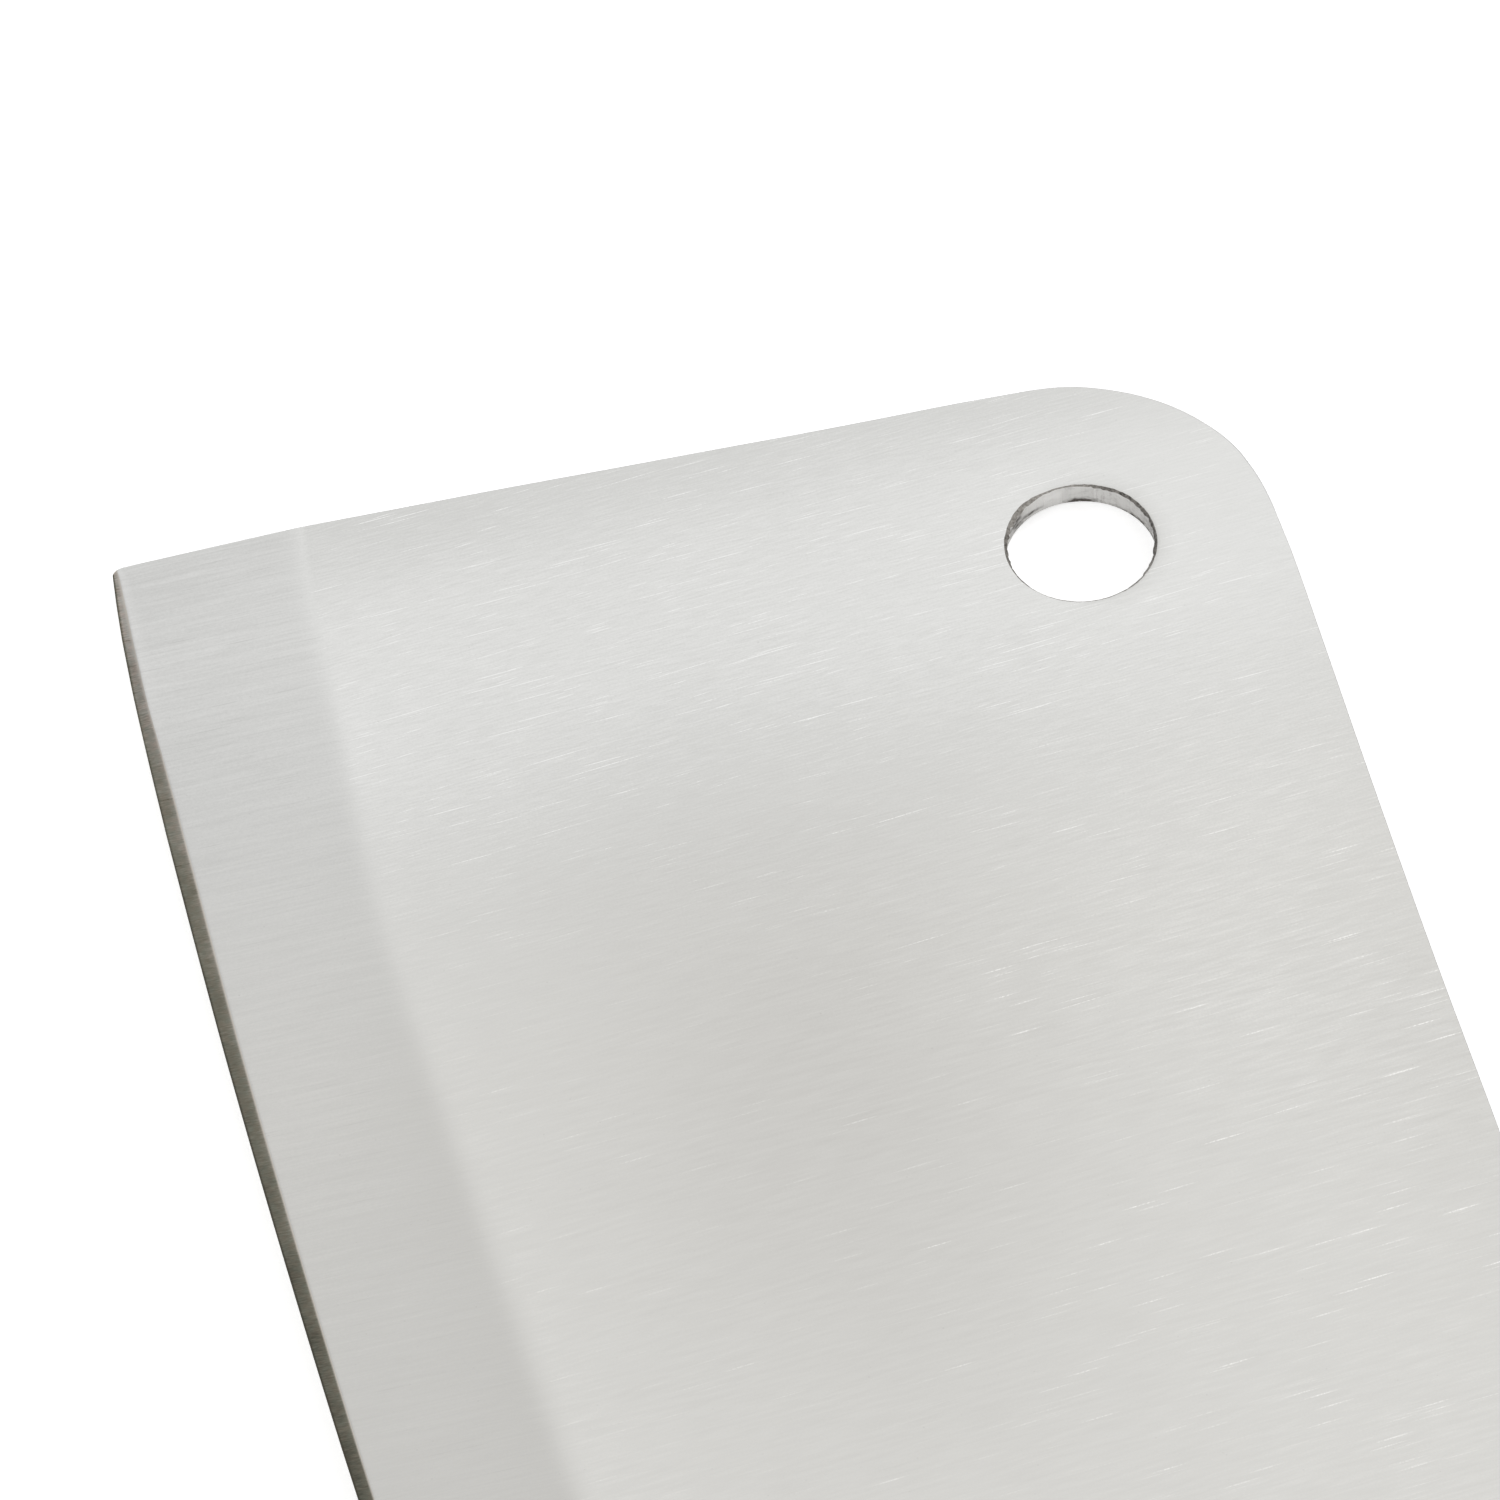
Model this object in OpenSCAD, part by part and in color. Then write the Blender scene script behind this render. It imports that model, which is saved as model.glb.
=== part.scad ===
// Chinese cleaver: a broad ground blade with a hanging hole, and a full tang between two riveted scales.
// Millimetres. The origin is the centre of the hanging hole, half way through the blade.
// +X runs from the nose to the butt, +Y to the spine, +Z out of the left face.

/* [Blade] */
// Thickness of the sheet, which the blade keeps above its bevels and all along the tang
blade_t = 2; // [1.6:0.1:3]
// Height of the blade from the spine to the lowest point of the edge
blade_h = 91.3; // [80:0.1:110]
// Length of the blade from the nose, beside the hole, to the heel
blade_len = 201; // [170:1:230]
// Lean of the nose, which runs out towards the edge
nose_lean = 2.1; // [0:0.1:5]
// Radius of the corner between the nose and the spine
corner_r = 17; // [12:0.5:24]
// Radius of the inner corner between the heel and the tang
choil_r = 7; // [4:0.5:9]

/* [Hanging hole] */
// Diameter of the hole
hole_d = 12; // [8:0.5:15]
// From the centre of the hole to the spine
hole_to_spine = 15.5; // [13:0.1:22]
// From the centre of the hole to the nose
hole_to_nose = 16.6; // [13:0.1:22]

/* [Edge] */
// Radius of the edge along the belly
belly_r = 1500; // [1200:10:3000]
// From the hole to the lowest point of the edge, along the blade
belly_x = 28; // [15:1:50]
// Radius of the edge where it turns up to the nose
toe_r = 450; // [200:10:500]
// From the hole to where the toe begins
toe_x = 8; // [-4:1:12]
// From the hole to where the straight rear part of the edge begins
rear_x = 80; // [70:1:110]
// Width of the ground bevel, the micro bevel included
bevel_w = 14.5; // [8:0.5:24]
// Width of the micro bevel
micro_w = 1.2; // [0.3:0.1:2]
// Thickness of the blade where the micro bevel begins
behind_edge_t = 0.6; // [0.3:0.05:1]
// Thickness left at the very edge
edge_t = 0.06; // [0.02:0.02:0.2]

/* [Handle] */
// From the heel to the front of the scales
scale_gap = 7; // [5:0.5:15]
// Length of the scales
grip_len = 116; // [100:1:130]
// Height of the grip at its front
grip_h = 27; // [24:0.5:32]
// Height by which the underside rises at the waist
waist = 2.2; // [0:0.1:4]
// Drop of the top line at the butt
butt_drop = 4.5; // [0:0.5:8]
// Drop of the underside at the butt
butt_swell = 6; // [2:0.5:10]
// Thickness of the grip at the waist, tang included
grip_t = 17.6; // [15:0.2:20]
// Thickness of the grip at its thickest, near the butt
palm_t = 20.4; // [18:0.2:24]
// Squareness of the grip's section: 2 is an ellipse
section_n = 2.6; // [2:0.1:4]
// Length of the rounding at the butt
butt_round = 10; // [6:0.5:16]
// Length of the ramp at the front of the scales
ramp_len = 13; // [8:0.5:20]
// Thickness of the grip at the foot of the ramp
ramp_t = 10; // [8:0.5:14]

/* [Rivets] */
// Diameter of a rivet's head
head_d = 8; // [7:0.5:10]
// Depth of a rivet's head in the scale
head_t = 2.6; // [2:0.1:3.4]
// Diameter of the female half's tube
tube_d = 5; // [4:0.1:6]
// Diameter of the male half's pin
pin_d = 3.2; // [2.4:0.1:3.4]
// Length of the tube beyond the tang
tube_over = 3; // [1:0.5:3.5]
// From each end of the scales to the outer rivets
rivet_inset = 18; // [15:0.5:25]
// Gap round the head and tube in their bores
wood_fit = 0.03; // [0:0.01:0.1]
// Gap between the pin and the tube, which stands for the press fit
pin_fit = 0.01; // [0:0.01:0.03]

/* [Node] */
// The node to draw, or all of them

/* [Hidden] */
$fn = 120;
steel = [0.78, 0.78, 0.77];
rosewood = [0.33, 0.17, 0.11];
nickel = [0.72, 0.69, 0.62];

half_t = blade_t / 2;
heel_x = blade_len - hole_to_nose;
edge_y = hole_to_spine - blade_h;
grip_x = heel_x + scale_gap;
butt_x = grip_x + grip_len;
// Surfaces that meet cross at a small angle instead of touching along a line: they are this far apart.
cross = 0.004;

// The blade's outline.

corner_y = hole_to_spine - corner_r;
corner_x = corner_r / cos(nose_lean) - hole_to_nose + tan(nose_lean) * corner_y;

// The nose's place at a height y.
function nose_x(y) = -hole_to_nose + tan(nose_lean) * y;

// Blade and tang with sharp corners. The tang follows the seam of the scales.
module sharp_outline() {
    low = edge_y - 4;
    last = len(grip_stations) - 1;
    polygon(concat(
        [
            [nose_x(low), low],
            [heel_x, low],
            [heel_x, seam_low(grip_x)]
        ],
        [for (x = grip_stations) [x, seam_low(x)]],
        [for (i = [last : -1 : 0]) [grip_stations[i], seam_high(grip_stations[i])]],
        [
            [heel_x, hole_to_spine],
            [nose_x(hole_to_spine), hole_to_spine]
        ]
    ));
}

// What rounding takes off the corner of the nose and the spine.
module corner_waste() {
    far = 2 * corner_r;
    difference() {
        translate([corner_x, corner_y]) polygon([
            [0, 0],
            [0, far],
            [-far, far],
            [-far * cos(nose_lean), far * sin(nose_lean)]
        ]);
        translate([corner_x, corner_y]) circle(r = corner_r + cross);
    }
}

module choil_web() {
    translate([heel_x - 1, seam_low(grip_x) - choil_r])
        square([choil_r + 1, choil_r + 1]);
}

module choil_waste() {
    dip = 0.02;
    translate([heel_x + choil_r - dip, seam_low(grip_x) - choil_r + dip]) circle(r = choil_r);
}

module sheet() {
    translate([0, 0, -half_t]) linear_extrude(height = blade_t) children();
}

module cutter() {
    translate([0, 0, -5]) linear_extrude(height = 10) children();
}

// The ground edge. The grinding takes away a channel with this section all along the edge: its
// x is measured outwards from the edge, and y is the height over the middle of the blade.

module edge_waste() {
    lift = 0.5;
    slope = (half_t - behind_edge_t / 2) / (bevel_w - micro_w);
    inner = -bevel_w - lift / slope;
    polygon([
        [inner, half_t + lift],
        [-micro_w, behind_edge_t / 2],
        [0, edge_t / 2],
        [0, -edge_t / 2],
        [-micro_w, -behind_edge_t / 2],
        [inner, -half_t - lift],
        [14, -half_t - lift],
        [14, half_t + lift]
    ]);
}

// A stretch of the channel along an arc, from one angle to another, where 0 points down.
module arc_waste(r, centre, from, to) {
    translate([centre[0], centre[1], 0])
        rotate([0, 0, 270 + from])
            rotate_extrude(angle = to - from, $fn = 720)
                translate([r, 0]) edge_waste();
}

belly_c = [belly_x, edge_y + belly_r];
function belly_angle(x) = asin((x - belly_x) / belly_r);
function belly_point(x) = belly_c + belly_r * [sin(belly_angle(x)), -cos(belly_angle(x))];

module belly_waste() {
    arc_waste(belly_r, belly_c, belly_angle(-45), belly_angle(rear_x));
}

// The toe crosses the belly by half a degree, so that both grinds stay clean surfaces.
toe_turn = 0.5;
toe_a = belly_angle(toe_x) - toe_turn;
toe_c = belly_point(toe_x) - toe_r * [sin(toe_a), -cos(toe_a)];
toe_run = 2.5;

module toe_waste() {
    arc_waste(toe_r, toe_c, toe_a - 10, toe_a + toe_run / toe_r * 180 / PI);
}

// The rear of the edge is straight: it leaves the belly 10 mm before the belly's end.
rear_from = belly_point(rear_x - 10);
rear_to = belly_point(rear_x + 10);
rear_turn = atan2(rear_to[1] - rear_from[1], rear_to[0] - rear_from[0]);

module rear_waste() {
    before = 8;
    reach = heel_x - rear_from[0] + 10;
    start = rear_from + reach * [cos(rear_turn), sin(rear_turn)];
    translate([start[0], start[1], 0])
        rotate([90, 0, rear_turn - 90])
            linear_extrude(height = reach + before) edge_waste();
}

// The grip. x runs along the blade, from grip_x at the front to butt_x.

function ease(a) = let (c = min(max(a, 0), 1)) c * c * (3 - 2 * c);
// 0 to 1 along a quarter of an ellipse.
function arch(d, r) = d >= r ? 1 : sqrt(max(0, 1 - pow(1 - d / r, 2)));
function along(x) = (x - grip_x) / grip_len;

butt_flat = 0.5;
function butt_arch(x) = butt_flat + (1 - butt_flat) * arch(butt_x - x, butt_round);
function ramp_arch(x) = arch(x - grip_x, ramp_len);

function line_high(x) = hole_to_spine - butt_drop * pow(along(x), 2);
function line_low(x) = let (u = along(x))
    hole_to_spine - grip_h - butt_swell * u * u + waist * sin(180 * u) * (1 - u);
function grip_mid(x) = (line_high(x) + line_low(x)) / 2;
function grip_half_h(x) = (line_high(x) - line_low(x)) / 2 * butt_arch(x);
function grip_body_t(x) = grip_t + (palm_t - grip_t) * ease(along(x) / 0.8);
function grip_half_t(x) = butt_arch(x)
    * (ramp_t + (grip_body_t(x) - ramp_t) * ramp_arch(x)) / 2;

function section_y(x, z) = grip_half_h(x)
    * pow(1 - pow(min(1, z / grip_half_t(x)), section_n), 1 / section_n);
function seam_high(x) = grip_mid(x) + section_y(x, half_t);
function seam_low(x) = grip_mid(x) - section_y(x, half_t);

// Places of the rings: close together in the ramp and in the butt's rounding.
grip_stations = concat(
    [for (i = [0 : 9]) grip_x + ramp_len * (1 - cos(9 * i))],
    [for (i = [0 : 20]) grip_x + ramp_len + (grip_len - ramp_len - butt_round) * i / 20],
    [for (i = [1 : 10]) butt_x - butt_round * (1 - sin(9 * i))]
);
ring_n = 24;

// A point of a ring: from the lower seam over the crown to the upper seam.
function ring_point(x, k, side) = let (
        hh = grip_half_h(x),
        ht = grip_half_t(x),
        seam = asin(pow(half_t / ht, section_n / 2)),
        a = seam + (180 - 2 * seam) * k / ring_n,
        c = cos(a),
        y = -sign(c) * pow(abs(c), 2 / section_n) * hh,
        z = pow(max(0, sin(a)), 2 / section_n) * ht
    ) [x, grip_mid(x) + y, side * max(z, half_t)];

// One half of the grip as a closed skin, from the tang's face outwards.
module grip_skin(side) {
    n = ring_n + 1;
    m = len(grip_stations);
    points = [for (x = grip_stations) for (k = [0 : ring_n]) ring_point(x, k, side)];
    skin = [for (i = [0 : m - 2]) for (k = [0 : ring_n - 1]) each [
        [i * n + k, (i + 1) * n + k, (i + 1) * n + k + 1],
        [i * n + k, (i + 1) * n + k + 1, i * n + k + 1]
    ]];
    seat = [for (i = [0 : m - 2]) each [
        [i * n, i * n + ring_n, (i + 1) * n + ring_n],
        [i * n, (i + 1) * n + ring_n, (i + 1) * n]
    ]];
    front = [for (k = [1 : ring_n - 1]) [0, k, k + 1]];
    last = (m - 1) * n;
    rear = [for (k = [1 : ring_n - 1]) [last, last + k + 1, last + k]];
    faces = concat(skin, seat, front, rear);
    polyhedron(points, side < 0 ? faces : [for (f = faces) [f[2], f[1], f[0]]]);
}

// The rivets. Their heads are cut level with the scales.

rivet_x = [
    grip_x + rivet_inset,
    grip_x + grip_len / 2,
    butt_x - rivet_inset
];
function floor_z(i) = grip_half_t(rivet_x[i]) - head_t;

module at_rivet(i, z) {
    translate([rivet_x[i], grip_mid(rivet_x[i]), z]) children();
}

module scale_half(side) {
    difference() {
        grip_skin(side);
        for (i = [0 : 2]) {
            at_rivet(i, -palm_t) cylinder(d = tube_d + 2 * wood_fit, h = 2 * palm_t);
            at_rivet(i, side > 0 ? floor_z(i) : -floor_z(i) - palm_t)
                cylinder(d = head_d + 2 * wood_fit, h = palm_t);
        }
    }
}

module rivet_head(i, side) {
    intersection() {
        grip_skin(side);
        at_rivet(i, side > 0 ? floor_z(i) : -floor_z(i) - palm_t) cylinder(d = head_d, h = palm_t);
    }
}

module rivet_female(i) {
    low = -half_t - tube_over;
    difference() {
        union() {
            rivet_head(i, 1);
            at_rivet(i, low) cylinder(d = tube_d, h = floor_z(i) + 1 - low);
        }
        at_rivet(i, low - 1) cylinder(d = pin_d + 2 * pin_fit, h = floor_z(i) - low);
    }
}

module rivet_male(i) {
    tip = floor_z(i) - 2;
    union() {
        rivet_head(i, -1);
        at_rivet(i, -floor_z(i) - 1) cylinder(d = pin_d, h = floor_z(i) + 1 + tip);
    }
}

module blade() {
    color(steel) difference() {
        union() {
            sheet() sharp_outline();
            sheet() choil_web();
        }
        cutter() corner_waste();
        cutter() choil_waste();
        belly_waste();
        toe_waste();
        rear_waste();
        translate([0, 0, -5]) cylinder(d = hole_d, h = 10);
        for (i = [0 : 2]) at_rivet(i, -5) cylinder(d = tube_d + 2 * wood_fit, h = 10);
    }
}

module scale_left() {
    color(rosewood) scale_half(1);
}

module scale_right() {
    color(rosewood) scale_half(-1);
}

module rivet_front_female() {
    color(nickel) rivet_female(0);
}

module rivet_front_male() {
    color(nickel) rivet_male(0);
}

module rivet_middle_female() {
    color(nickel) rivet_female(1);
}

module rivet_middle_male() {
    color(nickel) rivet_male(1);
}

module rivet_rear_female() {
    color(nickel) rivet_female(2);
}

module rivet_rear_male() {
    color(nickel) rivet_male(2);
}

blade();
scale_left();
scale_right();
rivet_front_female();
rivet_front_male();
rivet_middle_female();
rivet_middle_male();
rivet_rear_female();
rivet_rear_male();
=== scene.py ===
import math

import bmesh
import bpy
from mathutils import Matrix, Vector, noise
from mathutils.geometry import delaunay_2d_cdt


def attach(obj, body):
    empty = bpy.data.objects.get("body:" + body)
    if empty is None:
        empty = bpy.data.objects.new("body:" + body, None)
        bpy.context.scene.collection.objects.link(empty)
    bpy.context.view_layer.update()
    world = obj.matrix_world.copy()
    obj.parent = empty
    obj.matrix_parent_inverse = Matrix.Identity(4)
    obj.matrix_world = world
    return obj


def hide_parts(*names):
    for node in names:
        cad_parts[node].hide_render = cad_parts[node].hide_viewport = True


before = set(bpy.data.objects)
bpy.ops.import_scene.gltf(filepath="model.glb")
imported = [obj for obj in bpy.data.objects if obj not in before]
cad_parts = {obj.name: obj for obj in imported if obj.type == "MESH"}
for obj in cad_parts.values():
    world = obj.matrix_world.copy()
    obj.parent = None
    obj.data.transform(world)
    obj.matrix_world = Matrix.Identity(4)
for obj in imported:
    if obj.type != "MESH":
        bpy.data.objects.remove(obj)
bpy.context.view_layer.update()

scene = bpy.context.scene
mm = 0.001          # the lists below are in millimetres, Blender is in metres
weldGap = 0.002     # points closer than this become one
body = "root"


# small helpers for meshes

def makeObject(name, verts, faces, slotOfFace, materials, sharpAngle):
    mesh = bpy.data.meshes.new(name)
    mesh.from_pydata([Vector(v) * mm for v in verts], [], faces)
    for material in materials:
        mesh.materials.append(material)
    for polygon, slot in zip(mesh.polygons, slotOfFace):
        polygon.material_index = slot
        polygon.use_smooth = True
    work = bmesh.new()
    work.from_mesh(mesh)
    bmesh.ops.remove_doubles(work, verts=work.verts, dist=weldGap * mm)
    bmesh.ops.recalc_face_normals(work, faces=work.faces)
    work.to_mesh(mesh)
    work.free()
    mesh.set_sharp_from_angle(angle=math.radians(sharpAngle))
    item = bpy.data.objects.new(name, mesh)
    scene.collection.objects.link(item)
    return item


def bridge(faces, slots, loopA, loopB, slot, closed=False):
    # a strip of faces between two rows of points
    count = len(loopA)
    for k in range(count if closed else count - 1):
        n = (k + 1) % count
        faces.append((loopA[k], loopA[n], loopB[n], loopB[k]))
        slots.append(slot)


def skin(faces, slots, loops, slot, closed=True):
    for loopA, loopB in zip(loops, loops[1:]):
        bridge(faces, slots, loopA, loopB, slot, closed)


def addPoints(verts, points):
    start = len(verts)
    verts.extend(points)
    return range(start, len(verts))


def insideLoop(x, y, loop):
    hit = False
    for k in range(len(loop)):
        x1, y1 = loop[k - 1]
        x2, y2 = loop[k]
        if (y1 > y) != (y2 > y) and x < (x2 - x1) * (y - y1) / (y2 - y1) + x1:
            hit = not hit
    return hit


def onCircle(radius, angle):
    return radius * math.cos(angle), radius * math.sin(angle)


def lerp(a, b, t):
    return a + (b - a) * t


def ease(t):
    t = min(max(t, 0.0), 1.0)
    return t * t * (3 - 2 * t)


def curveAt(points, x):
    # the height at x of straight lines through (x, height) pairs
    if x <= points[0][0]:
        return points[0][1]
    for (x1, v1), (x2, v2) in zip(points, points[1:]):
        if x <= x2:
            return lerp(v1, v2, (x - x1) / (x2 - x1))
    return points[-1][1]


# the blade

blade = {
    "halfThickness": 1.0,
    "holeRadius": 6.0,
    "spineY": 15.5,
    "noseX": -16.6,             # where the nose is at the height of the hole
    "noseLean": math.radians(2.1),
    "cornerRadius": 17.0,
    "heelX": 184.4,
    "choilRadius": 7.0,
    "edgeY": -75.8,
    "bellyRadius": 1500.0,
    "bellyX": 28.0,
    "toeRadius": 450.0,
    "toeX": 8.0,
    "toeTurn": math.radians(0.5),
    "rearX": 80.0,
    "rearReach": 10.0,          # half the stretch over which the belly runs into the straight rear
    "bevelWidth": [(-19, 15.1), (-8, 14.9), (4, 14.7), (14, 14.3), (24, 14.15), (40, 14.5),
                   (60, 15.0), (80, 15.3), (184, 15.3)],
    "edgeTrim": [(-19, 0.1), (-17, 0.05), (-15.5, 0), (-12, -0.05), (-6, -0.03), (-2, 0.02),
                 (1, 0.05), (6, 0.09), (15, 0.07), (31, 0.01), (55, 0.02), (80, 0)],
    "microWidth": [(-19.2, 0.36), (-18, 0.53), (-14.5, 0.74), (-9, 0.86), (-3.7, 0.97),
                   (0.5, 1.13), (6, 1.26), (14, 1.3), (30, 1.26), (52, 1.22), (66, 1.17),
                   (80, 1.11), (100, 1.15), (184, 1.2)],
    "shoulderHalf": 0.3,        # half the thickness where the micro bevel begins
    "shoulderAtNose": 0.45,     # how much of it there is at the very nose
    "shoulderFrom": -19,
    "shoulderGrows": 12,        # and over what length it comes to its whole
    "shoulderSoftness": [(-19, 0.09), (-12, 0.06), (-3, 0.03), (184, 0.03)],
    "landHalf": 0.025,
    "grindSoftness": 0.42,      # how soft the grind line is
    "rim": 0.11,                # broken edge round the outline
    "rimDrop": 0.07,
    "rimShare": 0.4,            # the most of the thickness that it takes near the edge
    "spineRim": 0.04,           # the spine's broken edge is finer
    "spineRimAbove": -2,        # it starts above this height, grows in and fades out: x and length
    "spineRimIn": (-8, 10),
    "spineRimOut": (150, 30),
    # how far the hand-ground outline stands out: the nose by y, the corner by degrees, the spine by x
    "noseWander": [(-53, 0), (-42, 0.03), (-34, -0.02), (-24, -0.05), (-18, -0.09), (-12, -0.05),
                   (-6, 0.04), (-2, -0.02)],
    "cornerWander": [(90, 0.06), (94, 0.01), (100, 0.02), (106, 0.06), (112, 0.17), (118, 0.2),
                     (124, 0.17), (136, 0.16), (142, 0.13), (148, 0.1), (154, 0.08), (160, 0.1),
                     (166, 0.08), (172, 0), (178, -0.03)],
    "spineWander": [(0.4, 0.06), (1, 0.08), (5, 0.22), (9, 0.22), (13, 0.16), (17, 0.12), (21, 0.07),
                    (25, 0.02), (33, -0.05), (42, -0.1), (49, -0.1), (56, -0.04), (63, 0.03), (80, 0)],
    # how far the toe's corner is worn back, by the distance from the edge
    "toeInset": [(0, 0.66), (0.08, 0.48), (0.14, 0.4), (0.25, 0.29), (0.38, 0.2), (0.63, 0.11),
                 (0.9, 0.07), (1.6, 0.04), (15, 0.03), (30, 0)],
    # the hole's rim by its angle in degrees: the lip round it, and the burr that reaches into it
    "lipWidth": [(0, 0.05), (30, 0.08), (50, 0.05), (60, 0.03), (90, 0.02), (108, 0.06), (120, 0.1),
                 (150, 0.1), (165, 0.08), (178, 0.04), (195, 0.04), (205, 0.12), (215, 0.15),
                 (228, 0.11), (240, 0.06), (270, 0.03), (315, 0.03), (332, 0.06), (360, 0.05)],
    "burrReach": [(0, 0.06), (30, 0.07), (45, 0.12), (60, 0.22), (75, 0.23), (90, 0.19), (120, 0.22),
                  (150, 0.16), (165, 0.1), (182, 0.05), (195, 0.11), (205, 0.22), (225, 0.3),
                  (240, 0.25), (255, 0.26), (270, 0.17), (285, 0.12), (300, 0.08), (360, 0.06)],
    "backBurr": 0.05,           # how much of that the right face shows
    "leastBurr": 0.01,
    "tearSize": 9,              # how often the tear changes round the hole
    "tears": [(1.0, 0.5), (3.1, 0.6), (7.3, 0.3)],      # fineness and height
    "lipSlice": 0.7,            # places in the noise that tear the lip and the burr
    "burrSlice": 2.9,
    "lipTurn": 0.35,            # where between lip and burr the metal turns down
    "lipLift": (14, 0.03),      # how often it is lifted, and how much
    "rimDrops": (0.015, 0.05, 0.09),        # how far the three inner rings lie below the face
    "burrSlopes": (0.25, 0.5),              # and how much lower the last two are for each mm of burr
    "backDrops": (0.005, 0.015, 0.03),      # the same on the right face
    "wallWaves": (5, 0.012),
    "wallRings": 4,
    # the mesh: columns along the edge as shares of the length, rows up from the edge
    "noseShare": 0.2,
    "noseColumn": 0.0025,
    "rearColumn": 0.006,
    "microRows": [0.0, 0.2, 0.4, 0.6, 0.75, 0.87, 0.95, 1.02, 1.1, 1.22, 1.4],
    "bevelRows": [0.015, 0.035, 0.07, 0.14, 0.3, 0.5, 0.67, 0.83, 1],
    "bevelRowsEnd": 2.6,
    "grindRows": [-2.0, -1.5, -1.1, -0.8, -0.5, -0.25, 0.0, 0.25, 0.5, 0.8, 1.1, 1.5, 2.0, 2.6,
                  3.4, 5.0],
    "noseSteps": 24,
    "cornerSteps": 72,
    "spineSteps": 80,
    "tangSteps": 16,
    "choilSteps": 24,
    "heelSteps": 20,
    "holeSteps": 144,
    # loose points in the flat sheet, which keep its triangles even
    "seedCount": (75, 20),
    "seedStart": (-16, -56),
    "seedStep": (4.3, 3.7),
    "seedWave": (0.9, 0.8),
    "seedTurn": (7, 5),
    "seedFromBorder": 1.5,
    "seedFromHole": 8.5,
    "sheetTolerance": 1e-6,
    "sharpAngle": 5,
    "brushingSize": 100,        # of the map that gives the brushing its way
}

spineSide = blade["spineY"]
tanLean = math.tan(blade["noseLean"])
cosLean = math.cos(blade["noseLean"])
sinLean = math.sin(blade["noseLean"])


def noseX(y):
    return blade["noseX"] + tanLean * y


def bellyPoint(x):
    r = blade["bellyRadius"]
    dx = x - blade["bellyX"]
    return blade["edgeY"] + r - math.sqrt(r * r - dx * dx)


toeAngle = math.asin((blade["toeX"] - blade["bellyX"]) / blade["bellyRadius"]) - blade["toeTurn"]
toeCentre = (blade["toeX"] - blade["toeRadius"] * math.sin(toeAngle),
             bellyPoint(blade["toeX"]) + blade["toeRadius"] * math.cos(toeAngle))


def edgeLine(x):
    # the cutting edge: toe arc, belly arc and straight rear, with the little that sharpening took off
    trim = curveAt(blade["edgeTrim"], x)
    rearA = blade["rearX"] - blade["rearReach"]
    rearB = blade["rearX"] + blade["rearReach"]
    if x > rearA:
        return lerp(bellyPoint(rearA), bellyPoint(rearB), (x - rearA) / (rearB - rearA)) + trim
    y = bellyPoint(x)
    if x < blade["toeX"]:
        r = blade["toeRadius"]
        y = max(y, toeCentre[1] - math.sqrt(r * r - (x - toeCentre[0]) ** 2))
    return y + trim


def softPlus(distance, softness):
    # the distance where it is above zero, with a soft start
    share = distance / softness
    far = 30            # from here on the soft start no longer counts
    return softness * math.log1p(math.exp(share)) if share < far else distance


def bladeHalf(x, d):
    # half the thickness of the blade, d millimetres in from the edge
    wide = curveAt(blade["bevelWidth"], x)
    micro = curveAt(blade["microWidth"], x)
    grown = ease((x - blade["shoulderFrom"]) / blade["shoulderGrows"])
    shoulder = blade["shoulderHalf"] * lerp(blade["shoulderAtNose"], 1, grown)
    slope = (blade["halfThickness"] - shoulder) / (wide - micro)
    bevel = blade["halfThickness"] - slope * softPlus(wide - d, blade["grindSoftness"])
    steeper = (shoulder - blade["landHalf"]) / micro - slope
    worn = micro * curveAt(blade["shoulderSoftness"], x)
    return bevel - steeper * softPlus(micro - d, worn)


# the grip, with the same curves as the solids

grip = {
    "x0": 191.4,
    "length": 116.0,
    "height": 27.0,
    "waist": 2.2,
    "buttDrop": 4.5,
    "buttSwell": 6.0,
    "thickness": 17.6,
    "palmThickness": 20.4,
    "palmPlace": 0.8,           # share of the length where it is thickest
    "squareness": 2.6,
    "buttRound": 10.0,
    "buttFlat": 0.5,
    "rampLength": 13.0,
    "rampThickness": 10.0,
    "rivetX": [209.4, 249.4, 289.4],
}
gripEnd = grip["x0"] + grip["length"]


def arch(d, r):
    return 1.0 if d >= r else math.sqrt(max(0.0, 1 - (1 - d / r) ** 2))


def gripLines(x):
    # middle, half height and half thickness of the grip at x
    u = (x - grip["x0"]) / grip["length"]
    high = spineSide - grip["buttDrop"] * u * u
    low = (spineSide - grip["height"] - grip["buttSwell"] * u * u
           + grip["waist"] * math.sin(math.pi * u) * (1 - u))
    butt = lerp(grip["buttFlat"], 1, arch(gripEnd - x, grip["buttRound"]))
    palm = lerp(grip["thickness"], grip["palmThickness"], ease(u / grip["palmPlace"]))
    thick = butt * lerp(grip["rampThickness"], palm, arch(x - grip["x0"], grip["rampLength"]))
    return (high + low) / 2, (high - low) / 2 * butt, thick / 2


def gripZ(x, y):
    middle, halfHeight, halfThick = gripLines(x)
    n = grip["squareness"]
    across = min(1.0, abs(y - middle) / halfHeight)
    return halfThick * (1 - across ** n) ** (1 / n)


def seamY(x, side):
    # where the scale's curved skin meets the tang
    middle, halfHeight, halfThick = gripLines(x)
    n = grip["squareness"]
    return middle + side * halfHeight * (1 - (blade["halfThickness"] / halfThick) ** n) ** (1 / n)


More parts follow.
